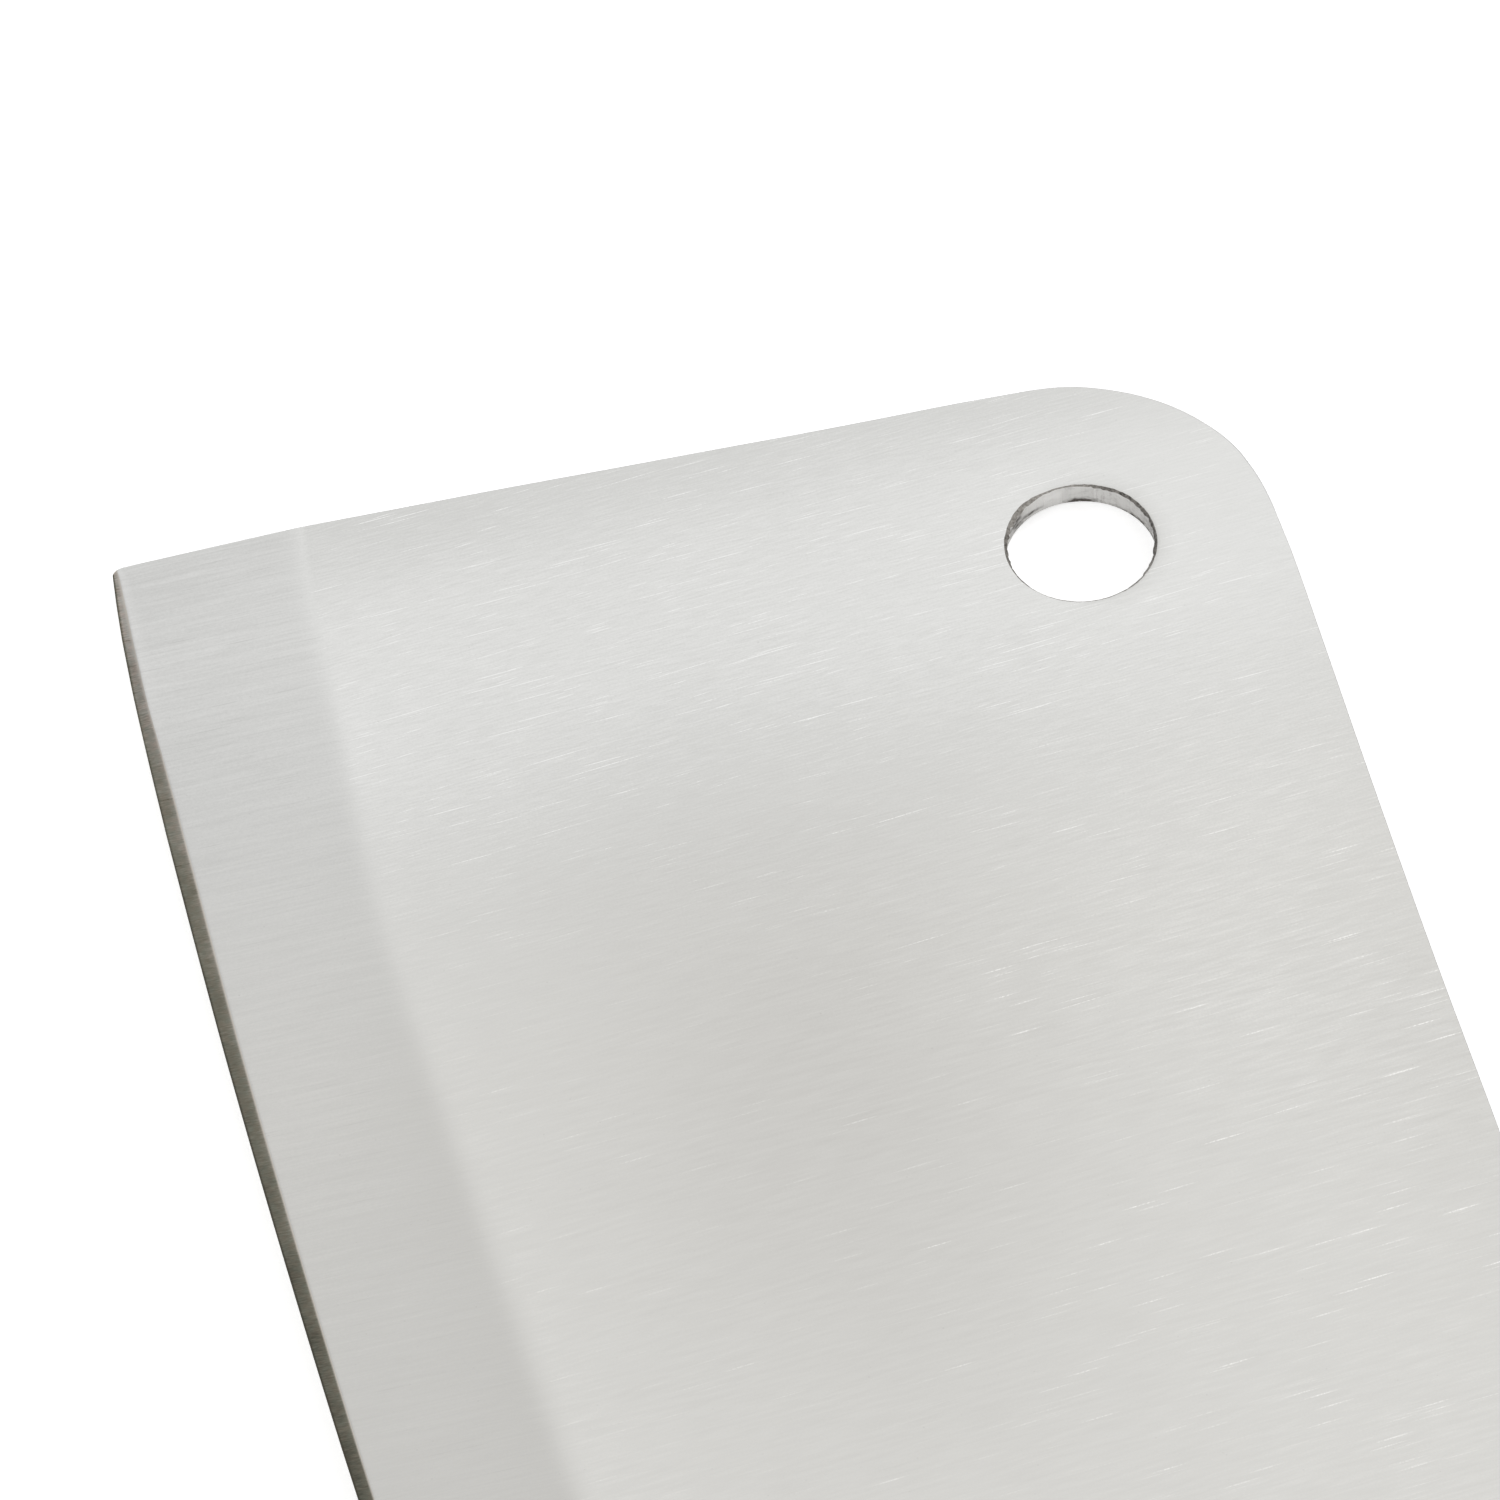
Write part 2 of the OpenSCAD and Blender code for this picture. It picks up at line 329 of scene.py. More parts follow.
def gripStations(fine):
    ramp = grip["rampLength"]
    butt = grip["buttRound"]
    run = grip["length"] - ramp - butt
    stations = [grip["x0"] + ramp * (1 - math.cos(math.pi / 2 * k / fine)) for k in range(fine)]
    stations += [grip["x0"] + ramp + run * k / (3 * fine) for k in range(3 * fine)]
    stations += [gripEnd - butt * (1 - math.sin(math.pi / 2 * k / fine)) for k in range(fine + 1)]
    return stations


print("lines ready")


# small helpers for materials

bench = {}          # holds the node tree that is being wired


def feed(socket, value):
    if isinstance(value, bpy.types.NodeSocket):
        bench["tree"].links.new(value, socket)
    elif socket.type == "RGBA" and len(value) == 3:
        socket.default_value = (*value, 1.0)
    else:
        socket.default_value = value


def node(kind, settings=None, **inputs):
    # inputs go by name, or as i0, i1 and so on by place
    made = bench["tree"].nodes.new("ShaderNode" + kind)
    for key, value in (settings or {}).items():
        setattr(made, key, value)
    for key, value in inputs.items():
        feed(made.inputs[int(key[1:]) if key[1:].isdigit() else key], value)
    return made


def startTree(owner, kind):
    owner.use_nodes = True
    owner.node_tree.nodes.clear()
    bench["tree"] = owner.node_tree
    return node(kind).inputs[0]


def newMaterial(name):
    material = bpy.data.materials.new(name)
    surface = startTree(material, "OutputMaterial")
    shader = node("BsdfPrincipled")
    feed(surface, shader.outputs[0])
    return material, shader


def maths(operation, a, b=0.0, c=0.0, clamp=False):
    settings = {"operation": operation, "use_clamp": clamp}
    return node("Math", settings, i0=a, i1=b, i2=c).outputs[0]


def plus(value, *others):
    for other in others:
        value = maths("ADD", value, other)
    return value


def times(value, *others):
    for other in others:
        value = maths("MULTIPLY", value, other)
    return value


def minus(a, b, clamp=False):
    return maths("SUBTRACT", a, b, clamp=clamp)


def timesPlus(a, b, c, clamp=False):
    return maths("MULTIPLY_ADD", a, b, c, clamp)


def swing(value, size, middle=0.0):
    # takes a noise from 0 to 1 to size from end to end round the middle
    return timesPlus(value, size, middle - size / 2)


def remap(value, before, after=(0.0, 1.0), smooth=False):
    # takes the first span to the second, and holds the ends
    settings = {"interpolation_type": "SMOOTHSTEP" if smooth else "LINEAR"}
    made = node("MapRange", settings, Value=value, i1=before[0], i2=before[1],
                i3=after[0], i4=after[1])
    return made.outputs[0]


def spot(*parts):
    # 1 in the middle and fading outwards; each part is a value, its middle and its reach
    away = 0.0
    for value, middle, reach in parts:
        share = maths("DIVIDE", minus(value, middle), reach)
        away = plus(times(share, share), away)
    return maths("EXPONENT", times(away, -1.0))


def blendColor(factor, a, b, kind="MIX"):
    settings = {"data_type": "RGBA", "blend_type": kind}
    return node("Mix", settings, i0=factor, i6=a, i7=b).outputs[2]


def ramp(factor, stops):
    made = node("ValToRGB", None, i0=factor)
    colours = made.color_ramp
    while len(colours.elements) < len(stops):
        colours.elements.new(0.5)
    for element, (place, colour) in zip(colours.elements, stops):
        element.position = place
        element.color = (*colour, 1.0)
    return made.outputs[0]


def profile(value, points):
    # follows straight lines through (place, height) pairs; no height may be below -1
    first, last = points[0][0], points[-1][0]
    share = remap(value, (first, last))
    stops = [((at - first) / (last - first), ((high + 1) / 2,) * 3) for at, high in points]
    return timesPlus(ramp(share, stops), 2.0, -1.0)


def xyz(vector):
    return node("SeparateXYZ", None, i0=vector).outputs[:]


def stretched(vector, stretch, shift=(0, 0, 0)):
    made = node("VectorMath", {"operation": "MULTIPLY_ADD"}, i0=vector, i1=stretch, i2=shift)
    return made.outputs[0]


def millimetres(turn=0.0, stretch=(1, 1, 1), shift=(0, 0, 0)):
    # object coordinates in millimetres, turned about Z, then stretched
    place = node("TexCoord").outputs["Object"]
    turned = node("Mapping", {"vector_type": "POINT"}, Vector=place, Rotation=(0, 0, turn),
                  Scale=(1 / mm, 1 / mm, 1 / mm)).outputs[0]
    return stretched(turned, stretch, shift)


def noiseValue(vector, detail, rough):
    return node("TexNoise", {"noise_dimensions": "3D"}, Vector=vector, Scale=1.0,
                Detail=detail, Roughness=rough).outputs[0]


def noiseAt(turn, stretch, shift, detail, rough):
    return noiseValue(millimetres(turn, stretch, shift), detail, rough)


def scratchMask(turn, across, along, size, shift):
    # sparse thin scratches: stretched Voronoi cells, each scratch with its own strength
    vector = millimetres(turn, (across, along, 0), (shift, shift * 0.7, 0))
    cells = node("TexVoronoi", {"feature": "F1", "voronoi_dimensions": "2D"}, Vector=vector,
                 Scale=1.0, Randomness=1.0)
    line = remap(cells.outputs["Distance"], (0.0, size), (1.0, 0.0))
    strength = node("SeparateColor", None, i0=cells.outputs["Color"]).outputs[0]
    return times(line, maths("POWER", strength, 2.0))


def finishSurface(shader, look, colour, rough, height, metal=1.0):
    feed(shader.inputs["Base Color"], colour)
    feed(shader.inputs["Roughness"], rough)
    shader.inputs["Metallic"].default_value = metal
    bump = node("Bump", None, Strength=look["bump"], Distance=look["relief"] * mm, Height=height)
    feed(shader.inputs["Normal"], bump.outputs[0])


# materials; a pair of pairs takes the first span, in millimetres, to the second

def groundSteelMaterial():
    # the flat faces and the ground bevel in one finish: two brushings that meet at the grind line
    look = {
        "turns": {              # the belt ran across the blade, leaning to the nose
            "face": math.radians(-4.2),
            "bevel": math.radians(1.8),
            "none": 0.0,
        },
        "tones": [(0.0, (0.56, 0.553, 0.535)), (0.5, (0.725, 0.725, 0.708)),
                  (1.0, (0.98, 0.98, 0.965))],
        "warmth": (1.01, 1.0, 0.986),
        "warmer": (2.0, 42.0),
        # the face darker round the upper side of the hole: tint, amount by distance from the middle,
        # and the y over which it comes in
        "holeDarkTint": (0.8, 0.795, 0.785),
        "holeDarkening": [(6, 1), (6.12, 0.8), (6.3, 0.38), (6.7, 0.22), (7.6, 0)],
        "holeDarkeningAbove": (-4.0, 4.0),
        # brushing and blotches: turn, cells for each millimetre, shift, detail, roughness
        "noises": {
            "ragged": ("face", (3.0, 0.12, 1), (0, 0, 0), 2, 0.6),
            "grit": ("none", (5.5, 5.0, 1), (6, 2, 0), 2, 0.6),
            "faceGrain": ("face", (6.2, 0.45, 1), (0, 0, 0), 3, 0.6),
            "rearGrain": ("face", (2.6, 0.25, 1), (4, 6, 0), 2, 0.5),
            "faceLines": ("face", (3.2, 0.1, 1), (7, 3, 0), 2, 0.6),
            "bevelGrain": ("bevel", (5.6, 0.2, 1), (2, 5, 0), 2, 0.55),
            "bevelLines": ("bevel", (3.0, 0.1, 1), (1, 8, 0), 2, 0.6),
            "mottle": ("face", (0.16, 0.07, 0.05), (3, 9, 0), 3, 0.55),
            "flocks": ("face", (0.3, 0.1, 0.1), (9, 1, 0), 2, 0.6),
            "beads": ("none", (5.0, 5.0, 1), (0, 0, 0), 1, 0.5),
        },
        # how strongly they show in the tone
        "swings": {"grit": 0.52, "faceGrain": 0.8, "rearGrain": 0.75, "faceLines": 0.2,
                   "bevelGrain": 0.62, "bevelLines": 0.44, "mottle": 0.14},
        # scratches: turn, lean, cells for each millimetre across and along, width, shift
        "cuts": {
            "hairs": ("face", 0.015, 2.5, 0.045, 0.1, 4.0),
            "longHairs": ("face", -0.025, 1.3, 0.014, 0.055, 33.0),
            "broadHairs": ("face", -0.01, 1.6, 0.075, 0.14, 12.0),
            "nicks": ("face", -0.035, 3.4, 0.12, 0.13, 21.0),
            "gouges": ("bevel", 0.01, 2.2, 0.06, 0.1, 47.0),
            "specks": ("none", 0.0, 0.35, 0.3, 0.03, 61.0),
        },
        "coarser": (10.0, 50.0),            # the marks get coarser towards the handle
        "fineLost": 0.6,
        "nickShare": 0.6,
        "broadShare": 0.8,
        "brightScratches": 2.2,
        "gougeDepth": 0.8,
        "speckDepth": 0.5,
        "flocks": ((0.35, 0.65), (0.25, 1.6)),
        "beads": ((0.35, 0.65), (0.3, 1.5)),
        "marksLean": (-38.0, -0.6),         # the face's marks fade along leaning lines
        "faceMarks": [(-55, 0.85), (-19, 0.95), (0, 1.0), (22, 1.0), (30, 0.84), (38, 0.64),
                      (48, 0.53), (100, 0.46), (220, 0.6)],
        "faceStrength": 1.12,
        "calmSpot": ((-6.0, 16.0), (10.0, 9.0)),        # fainter marks above the hole: middle and reach
        "calm": 0.5,
        "scratchFade": ((-38.0, -16.0), (1.0, 0.1)),    # how much the scratches fade with the marks
        "scratchMarks": [(-55, 1), (8, 1), (18, 0.7), (36, 0.7), (48, 0.9), (220, 0.9)],
        "bevelMarks": [(-19, 1.0), (-6, 0.93), (8, 0.7), (18, 0.6), (40, 0.5), (184, 0.5)],
        # painted reflection along the bevel: lighter at the nose, darker towards the heel
        "bevelPaintedLight": [(-17, 0.38), (-9, 0.4), (1, 0.27), (8, 0.21), (20, 0.24), (37, 0.2),
                       (49, 0.1), (75, -0.04)],
        "patches": [                        # painted reflection and shade, lighter and darker clouds on the face: x and its reach, y and its reach, tone
            ((48, 33), (-33, 19), -0.47),
            ((22, 26), (4, 14), 0.09),
            ((58, 24), (15, 9), -0.16),
        ],
        # painted highlight on the face near the nose, and painted shade at its very rim
        "nosePaintedHighlight": ((2.0, 24.0), (0.3, 0.0)),
        "nosePaintedShade": ((-19.0, -6.0), (0.34, 0.0)),
        # the grind line: raggedness, how soft it is, and the painted highlight and painted shade beside
        # it
        "raggedMiddle": 0.85,
        "raggedReach": 1.3,
        "grindSoft": ((-19.0, 60.0), (0.32, 1.6)),
        "grindFade": 0.16,
        "grindPaintedHighlight": 0.1,
        "grindPaintedShade": ((5.0, 40.0), (0.0, 0.28)),
        # painted highlight just above the micro bevel's shoulder, strongest at the nose
        "shoulderPaintedHighlight": ((-19.0, 0.0), (0.35, 0.0)),
        "shoulderReach": ((1.0, 2.4), (1.0, 0.0)),      # in widths of the micro bevel
        "roughness": 0.34,
        "roughSwing": 0.12,
        "anisotropy": 0.6,
        "bump": 0.4,
        "relief": 0.004,
    }
    material, shader = newMaterial("ground_steel")
    x, y, _ = xyz(millimetres())
    fromEdge = xyz(node("UVMap", {"uv_map": "strip"}).outputs[0])[1]
    fromGrind = node("Attribute", {"attribute_name": "fromGrind"}).outputs["Fac"]
    noises = {name: noiseAt(look["turns"][turn], *rest)
              for name, (turn, *rest) in look["noises"].items()}
    cuts = {name: scratchMask(look["turns"][turn] + lean, *rest)
            for name, (turn, lean, *rest) in look["cuts"].items()}
    swings = {name: swing(noises[name], size) for name, size in look["swings"].items()}

    # onFace is 1 on the flat face and 0 on the bevel; it is crisp at the nose and soft further back
    ragged = minus(noises["ragged"], look["raggedMiddle"])
    shifted = timesPlus(ragged, look["raggedReach"], fromGrind)
    soft = remap(x, *look["grindSoft"])
    onFace = remap(shifted, (times(soft, -1.0), soft), smooth=True)
    onBevel = minus(1.0, onFace)

    # where the face's marks are strong
    fromNose = timesPlus(minus(y, look["marksLean"][0]), look["marksLean"][1], x)
    (calmX, reachX), (calmY, reachY) = look["calmSpot"]
    calm = spot((x, calmX, reachX), (y, calmY, reachY))
    faceMarks = times(profile(fromNose, look["faceMarks"]), timesPlus(calm, -look["calm"], 1.0))

    # bright scratches in loose flocks
    coarse = remap(x, look["coarser"])
    fine = timesPlus(coarse, -look["fineLost"], 1.0)
    scratches = plus(cuts["hairs"], cuts["longHairs"], times(cuts["nicks"], look["nickShare"]))
    scratches = plus(times(scratches, fine), times(cuts["broadHairs"], coarse, look["broadShare"]))
    scratches = times(scratches, remap(noises["flocks"], *look["flocks"]),
                      look["brightScratches"], remap(noises["beads"], *look["beads"]))
    fade = remap(y, *look["scratchFade"])
    faded = timesPlus(fade, minus(faceMarks, 1.0), 1.0)
    scratches = times(scratches, faded, profile(x, look["scratchMarks"]))

    # the tone, from -1 for dull to 1 for bright
    faceTone = plus(times(swings["faceGrain"], fine),
                    times(swings["rearGrain"], coarse), swings["faceLines"], scratches)
    faceTone = times(faceTone, faceMarks, look["faceStrength"])
    bevelTone = plus(swings["bevelGrain"], swings["bevelLines"],
                     times(cuts["gouges"], -look["gougeDepth"]))
    bevelTone = times(bevelTone, profile(x, look["bevelMarks"]))
    # painted reflection: the bevel lighter at the nose and darker towards the heel
    bevelTone = plus(bevelTone, profile(x, look["bevelPaintedLight"]))
    tone = plus(times(faceTone, onFace), times(bevelTone, onBevel))
    tone = plus(tone, swings["mottle"], times(swings["grit"], faceMarks))
    tone = minus(tone, times(cuts["specks"], look["speckDepth"]))
    # painted reflection: a darker cloud in the middle of the nose half, a lighter one behind the hole,
    # painted shade under the spine
    for (middleX, reachX), (middleY, reachY), strength in look["patches"]:
        paintedCloud = spot((x, middleX, reachX), (y, middleY, reachY))
        tone = timesPlus(paintedCloud, strength, tone)
    # painted highlight on the face towards the nose, painted shade in its last millimetres
    paintedHighlight = remap(x, *look["nosePaintedHighlight"], smooth=True)
    paintedNoseShade = remap(x, *look["nosePaintedShade"], smooth=True)
    tone = timesPlus(minus(paintedHighlight, paintedNoseShade), onFace, tone)
    # painted highlight on the face and painted shade on the bevel, fading away from the grind line
    beside = maths("EXPONENT", times(maths("ABSOLUTE", fromGrind), -look["grindFade"]))
    shade = remap(x, *look["grindPaintedShade"])
    step = minus(times(onFace, plus(shade, look["grindPaintedHighlight"])), shade)
    tone = timesPlus(beside, step, tone)
    # painted highlight above the micro bevel's shoulder
    tone = timesPlus(remap(fromEdge, *look["shoulderReach"]), remap(x, *look["shoulderPaintedHighlight"]), tone)
    tone = timesPlus(tone, 0.5, 0.5, clamp=True)

    colour = ramp(tone, look["tones"])
    warm = remap(x, look["warmer"], smooth=True)
    colour = blendColor(warm, colour, look["warmth"], "MULTIPLY")
    # darker round the upper side of the hole
    fromHole = maths("SQRT", plus(times(x, x), times(y, y)))
    darkening = times(profile(fromHole, look["holeDarkening"]), remap(y, look["holeDarkeningAbove"]))
    colour = blendColor(darkening, colour, look["holeDarkTint"], "MULTIPLY")

    rough = swing(noises["faceGrain"], look["roughSwing"], look["roughness"])
    height = plus(times(noises["faceGrain"], onFace), scratches,
                  times(noises["bevelGrain"], onBevel))
    finishSurface(shader, look, colour, rough, height)
    shader.inputs["Anisotropic"].default_value = look["anisotropy"]
    tangent = node("Tangent", {"direction_type": "UV_MAP", "uv_map": "brushing"})
    feed(shader.inputs["Tangent"], tangent.outputs[0])
    return material


def microSteelMaterial():
    # the stoned micro bevel: marks across it, browner at the nose; dark partly from its finish and
    # partly as painted shade, paler at the nose as painted reflection, with a painted highlight along
    # its shoulder
    look = {
        # dark tones: partly the stoned finish, partly painted shade for the dark room the bevel mirrors
        "tones": [(0.0, (0.152, 0.145, 0.112)), (0.45, (0.375, 0.36, 0.287)),
                  (1.0, (0.83, 0.77, 0.7)), (1.4, (1.0, 0.94, 0.87))],
        # painted highlight: the pale colour along the shoulder
        "shoulder": (0.93, 0.88, 0.8),
        "stains": [(0.97, 1.01, 1.02), (1.04, 0.99, 0.98)],
        # turn, cells for each millimetre, shift, detail, roughness
        "marks": (math.radians(11), (8.0, 1.1, 0.3), (0, 0, 0), 3, 0.7),
        "broad": (0.0, (0.3, 0.1, 0.1), (5, 0, 0), 2, 0.5),
        "gaps": (0.0, (2.0, 2.0, 2.0), (4, 4, 0), 2, 0.6),
        "stain": (0.0, (1.6, 1.6, 1.6), (8, 0, 0), 2, 0.6),
        "broadSwing": 0.4,
        "gapShare": ((0.42, 0.58), (0.1, 1.0)),
        "stainShare": (0.35, 0.65),
        "notchLean": -0.25,
        "notchScale": 0.6,
        "notchWidth": 0.035,
        "notchDepth": [(-19, 1.0), (-2, 0.7), (9, 0.65), (18, 0.2), (184, 0.2)],
        "baseTone": 0.23,
        # painted reflection: the tone along the bevel, paler at the nose
        "along": [(-19, 0.74), (-17, 0.73), (-12, 0.7), (-8, 0.62), (-4, 0.5), (0, 0.35), (4, 0.31),
                  (6, 0.29), (11, 0.26), (18, 0.18), (31, 0.16), (55, 0.0), (70, -0.03), (84, -0.07),
                  (184, -0.07)],
        "markSize": [(-19, 1.3), (-10, 1.25), (-4, 1.1), (0, 0.75), (184, 0.75)],
        "nose": (-19.0, -2.0),
        # from the edge up: how much more there is of it at the nose, and its amount elsewhere
        "climb": (0.15, 0.13),
        # painted highlight: brighter towards the shoulder
        "topPower": 5.0,
        "topLight": 0.26,
        "wornWidth": (0.2, 0.16),
        "wornDepth": 0.48,
        "wornShare": (1.2, 1.0),
        "shoulderHighlightFrom": (-0.3, 0.86),
        "roughness": 0.385,
        "roughSwing": 0.15,
        "bump": 0.6,
        "relief": 0.006,
    }
    material, shader = newMaterial("micro_steel")
    along, up, _ = xyz(node("UVMap", {"uv_map": "strip"}).outputs[0])
    marks = noiseAt(*look["marks"])
    broad = noiseAt(*look["broad"])
    atNose = remap(along, look["nose"], (1.0, 0.0))

    # notches left by the stone, each with its own depth and with gaps
    lines = node("TexVoronoi", {"feature": "F1", "voronoi_dimensions": "1D"},
                 W=timesPlus(up, look["notchLean"], along), Scale=look["notchScale"],
                 Randomness=1.0)
    notches = remap(lines.outputs["Distance"], (0.0, look["notchWidth"]), (1.0, 0.0))
    depth = node("SeparateColor", None, i0=lines.outputs["Color"]).outputs[0]
    gaps = remap(noiseAt(*look["gaps"]), *look["gapShare"])
    notches = times(notches, gaps, maths("POWER", depth, 2.0))

    tone = timesPlus(minus(marks, 0.5), profile(along, look["markSize"]), look["baseTone"])
    # painted reflection: paler at the nose, darker towards the heel
    tone = plus(tone, swing(broad, look["broadSwing"]), profile(along, look["along"]))
    tone = timesPlus(minus(up, 0.5), timesPlus(atNose, *look["climb"]), tone)
    # painted highlight towards the shoulder
    tone = timesPlus(maths("POWER", up, look["topPower"]), look["topLight"], tone)
    worn = remap(up, (0.0, timesPlus(atNose, *look["wornWidth"])), (look["wornDepth"], 0.0))
    tone = minus(tone, times(worn, timesPlus(atNose, *look["wornShare"])))
    tone = minus(tone, times(notches, profile(along, look["notchDepth"])))
    top = look["tones"][-1][0]
    tone = maths("MULTIPLY", tone, 1 / top, clamp=True)
    colour = ramp(tone, [(at / top, shade) for at, shade in look["tones"]])
    stain = remap(noiseAt(*look["stain"]), look["stainShare"])
    colour = blendColor(1.0, colour, blendColor(stain, *look["stains"]), "MULTIPLY")
    # painted highlight: the pale colour blended in along the shoulder
    shoulderHighlight = remap(up, (timesPlus(atNose, *look["shoulderHighlightFrom"]), 1.0), smooth=True)
    colour = blendColor(shoulderHighlight, colour, look["shoulder"])
    rough = swing(marks, look["roughSwing"], look["roughness"])
    finishSurface(shader, look, colour, rough, marks)
    return material


def wallSteelMaterial(name, look):
    # sheared and ground narrow faces: marks run through the thickness
    material, shader = newMaterial(name)
    marks = noiseAt(*look["marks"])
    patches = noiseAt(*look["patches"])
    darkening = remap(patches, look["spots"], (0.0, look["spotDepth"]))
    if "smears" in look:
        # the punch left dark smears: angle and its reach in degrees, height and its reach, strength
        x, y, z = xyz(millimetres())
        angle = maths("ARCTAN2", y, x)
        darkening = times(darkening, look["spotShare"])
        streaks = timesPlus(patches, *look["streaks"], clamp=True)
        for turn, reach, height, tall, strength in look["smears"]:
            smear = spot((angle, math.radians(turn), math.radians(reach)), (z, height, tall))
            darkening = timesPlus(times(smear, streaks), strength, darkening)
    tone = minus(swing(marks, look["markDepth"], 0.5), darkening, clamp=True)
    colour = ramp(tone, look["tones"])
    rough = swing(marks, look["roughSwing"], look["roughness"])
    finishSurface(shader, look, colour, rough, marks)
    return material


# marks and patches: turn, cells for each millimetre, shift, detail, roughness
wallSteelLook = {"spotDepth": 0.5, "spotShare": 0.2, "streaks": (2.6, -0.55),
                 "roughSwing": 0.2, "bump": 0.5, "relief": 0.008}
outlineSteelLook = {
    **wallSteelLook,
    "marks": (0.0, (7.0, 7.0, 0.4), (0, 0, 0), 3, 0.6), "markDepth": 0.5,
    "patches": (0.0, (0.4, 0.4, 0.4), (2, 5, 1), 2, 0.6), "spots": (0.62, 0.8), "spotDepth": 0.2,
    "tones": [(0.0, (0.4, 0.4, 0.39)), (0.5, (0.66, 0.66, 0.65)), (1.0, (0.86, 0.86, 0.85))],
    "roughness": 0.35,
}
holeSteelLook = {
    **wallSteelLook,
    "marks": (0.0, (4.0, 4.0, 0.35), (0, 0, 0), 3, 0.6), "markDepth": 0.28,
    "patches": (0.0, (1.6, 1.3, 3.2), (2, 5, 1), 2, 0.6), "spots": (0.5, 0.7),
    "tones": [(0.0, (0.12, 0.11, 0.1)), (0.5, (0.74, 0.73, 0.71)), (1.0, (0.93, 0.92, 0.9))],
    "roughness": 0.3,
    "smears": [(-136, 9, -0.3, 0.7, 0.6), (-156, 9, -0.55, 0.2, 0.5), (167, 11, -0.85, 0.25, 1.0),
               (116, 20, -1.0, 0.3, 0.7), (90, 15, 0.0, 1.0, 0.4), (-172, 15, 0.1, 0.9, -0.35)],
}
burrSteelLook = {
    **wallSteelLook,
    "marks": (0.0, (4.0, 4.0, 2.0), (0, 0, 0), 3, 0.6), "markDepth": 1.2,
    "patches": (0.0, (1.4, 1.4, 1.0), (2, 5, 1), 2, 0.6), "spots": (0.42, 0.62),
    "tones": [(0.0, (0.068, 0.064, 0.058)), (0.5, (0.32, 0.303, 0.28)), (1.0, (0.62, 0.605, 0.58))],
    "roughness": 0.4,
    "smears": [(135, 28, 1.0, 3.0, 0.3), (-100, 22, 1.0, 3.0, 0.28), (-20, 40, 1.0, 3.0, -0.6),
               (48, 12, 1.0, 3.0, -0.35)],
}


def rosewoodMaterial():
    look = {
        "tones": [(0.0, (0.028, 0.009, 0.006)), (0.3, (0.075, 0.024, 0.013)),
                  (0.62, (0.165, 0.058, 0.028)), (1.0, (0.29, 0.115, 0.055))],
        "poreColour": (0.028, 0.009, 0.006),
        "wobble": (0.018, 0.07, 0.07),
        "bend": (0.0, 9.0, 9.0),
        # cells for each millimetre, detail, roughness
        "bands": ((0.006, 0.32, 0.25), 3, 0.55),
        "fibres": ((0.05, 2.2, 2.2), 4, 0.65),
        "pores": ((0.16, 5.5, 5.5), 2, 0.5),
        "bandTone": (1.9, -0.5),
        "fibreTone": (0.55, -0.27),
        "poreShare": (0.62, 0.7),
        "poreDark": 0.75,
        "poreRough": 0.2,
        "fibreHeight": 0.35,
        "roughness": 0.36,
        "roughSwing": 0.2,
        "coat": 0.15,
        "coatRoughness": 0.25,
        "bump": 0.45,
        "relief": 0.04,
    }
    material, shader = newMaterial("rosewood")
    board = node("Attribute", {"attribute_name": "boardShift"}).outputs["Vector"]
    place = node("VectorMath", {"operation": "ADD"}, i0=millimetres(), i1=board).outputs[0]
    wobble = node("TexNoise", None, Vector=stretched(place, look["wobble"]), Scale=1.0,
                  Detail=2.0).outputs["Color"]
    bent = stretched(wobble, look["bend"], place)

    def grain(name):
        stretch, detail, rough = look[name]
        return noiseValue(stretched(bent, stretch), detail, rough)

    fibres = grain("fibres")
    tone = timesPlus(grain("bands"), *look["bandTone"])
    tone = maths("ADD", tone, timesPlus(fibres, *look["fibreTone"]), clamp=True)
    colour = ramp(tone, look["tones"])
    pores = remap(grain("pores"), look["poreShare"])
    colour = blendColor(times(pores, look["poreDark"]), colour, look["poreColour"])
    rough = plus(swing(fibres, look["roughSwing"], look["roughness"]),
                 times(pores, look["poreRough"]))
    height = minus(times(fibres, look["fibreHeight"]), pores)
    finishSurface(shader, look, colour, rough, height, metal=0.0)
    shader.inputs["Coat Weight"].default_value = look["coat"]
    shader.inputs["Coat Roughness"].default_value = look["coatRoughness"]
    return material


def rivetMaterial():
    look = {
        "tones": [(0.0, (0.42, 0.29, 0.12)), (0.5, (0.68, 0.5, 0.23)), (1.0, (0.86, 0.68, 0.38))],
        # turn, cells for each millimetre, shift, detail, roughness
        "lines": (math.radians(80), (7.0, 0.35, 1), (0, 0, 0), 3, 0.6),
        "tarnish": (0.0, (0.5, 0.5, 0.5), (0, 0, 0), 2, 0.6),
        "lineTone": 0.6,
        "tarnishTone": (0.5, -0.05),
        "roughness": 0.28,
        "roughSwing": 0.2,
        "bump": 0.4,
        "relief": 0.004,
    }
    material, shader = newMaterial("rivet_brass")
    lines = noiseAt(*look["lines"])
    tarnish = timesPlus(noiseAt(*look["tarnish"]), *look["tarnishTone"])
    tone = maths("MULTIPLY_ADD", lines, look["lineTone"], tarnish, clamp=True)
    colour = ramp(tone, look["tones"])
    rough = swing(lines, look["roughSwing"], look["roughness"])
    finishSurface(shader, look, colour, rough, lines)
    return material


groundSteel = groundSteelMaterial()
microSteel = microSteelMaterial()
outlineSteel = wallSteelMaterial("outline_steel", outlineSteelLook)
holeSteel = wallSteelMaterial("hole_steel", holeSteelLook)
burrSteel = wallSteelMaterial("burr_steel", burrSteelLook)
rosewood = rosewoodMaterial()
rivetBrass = rivetMaterial()
print("materials ready")


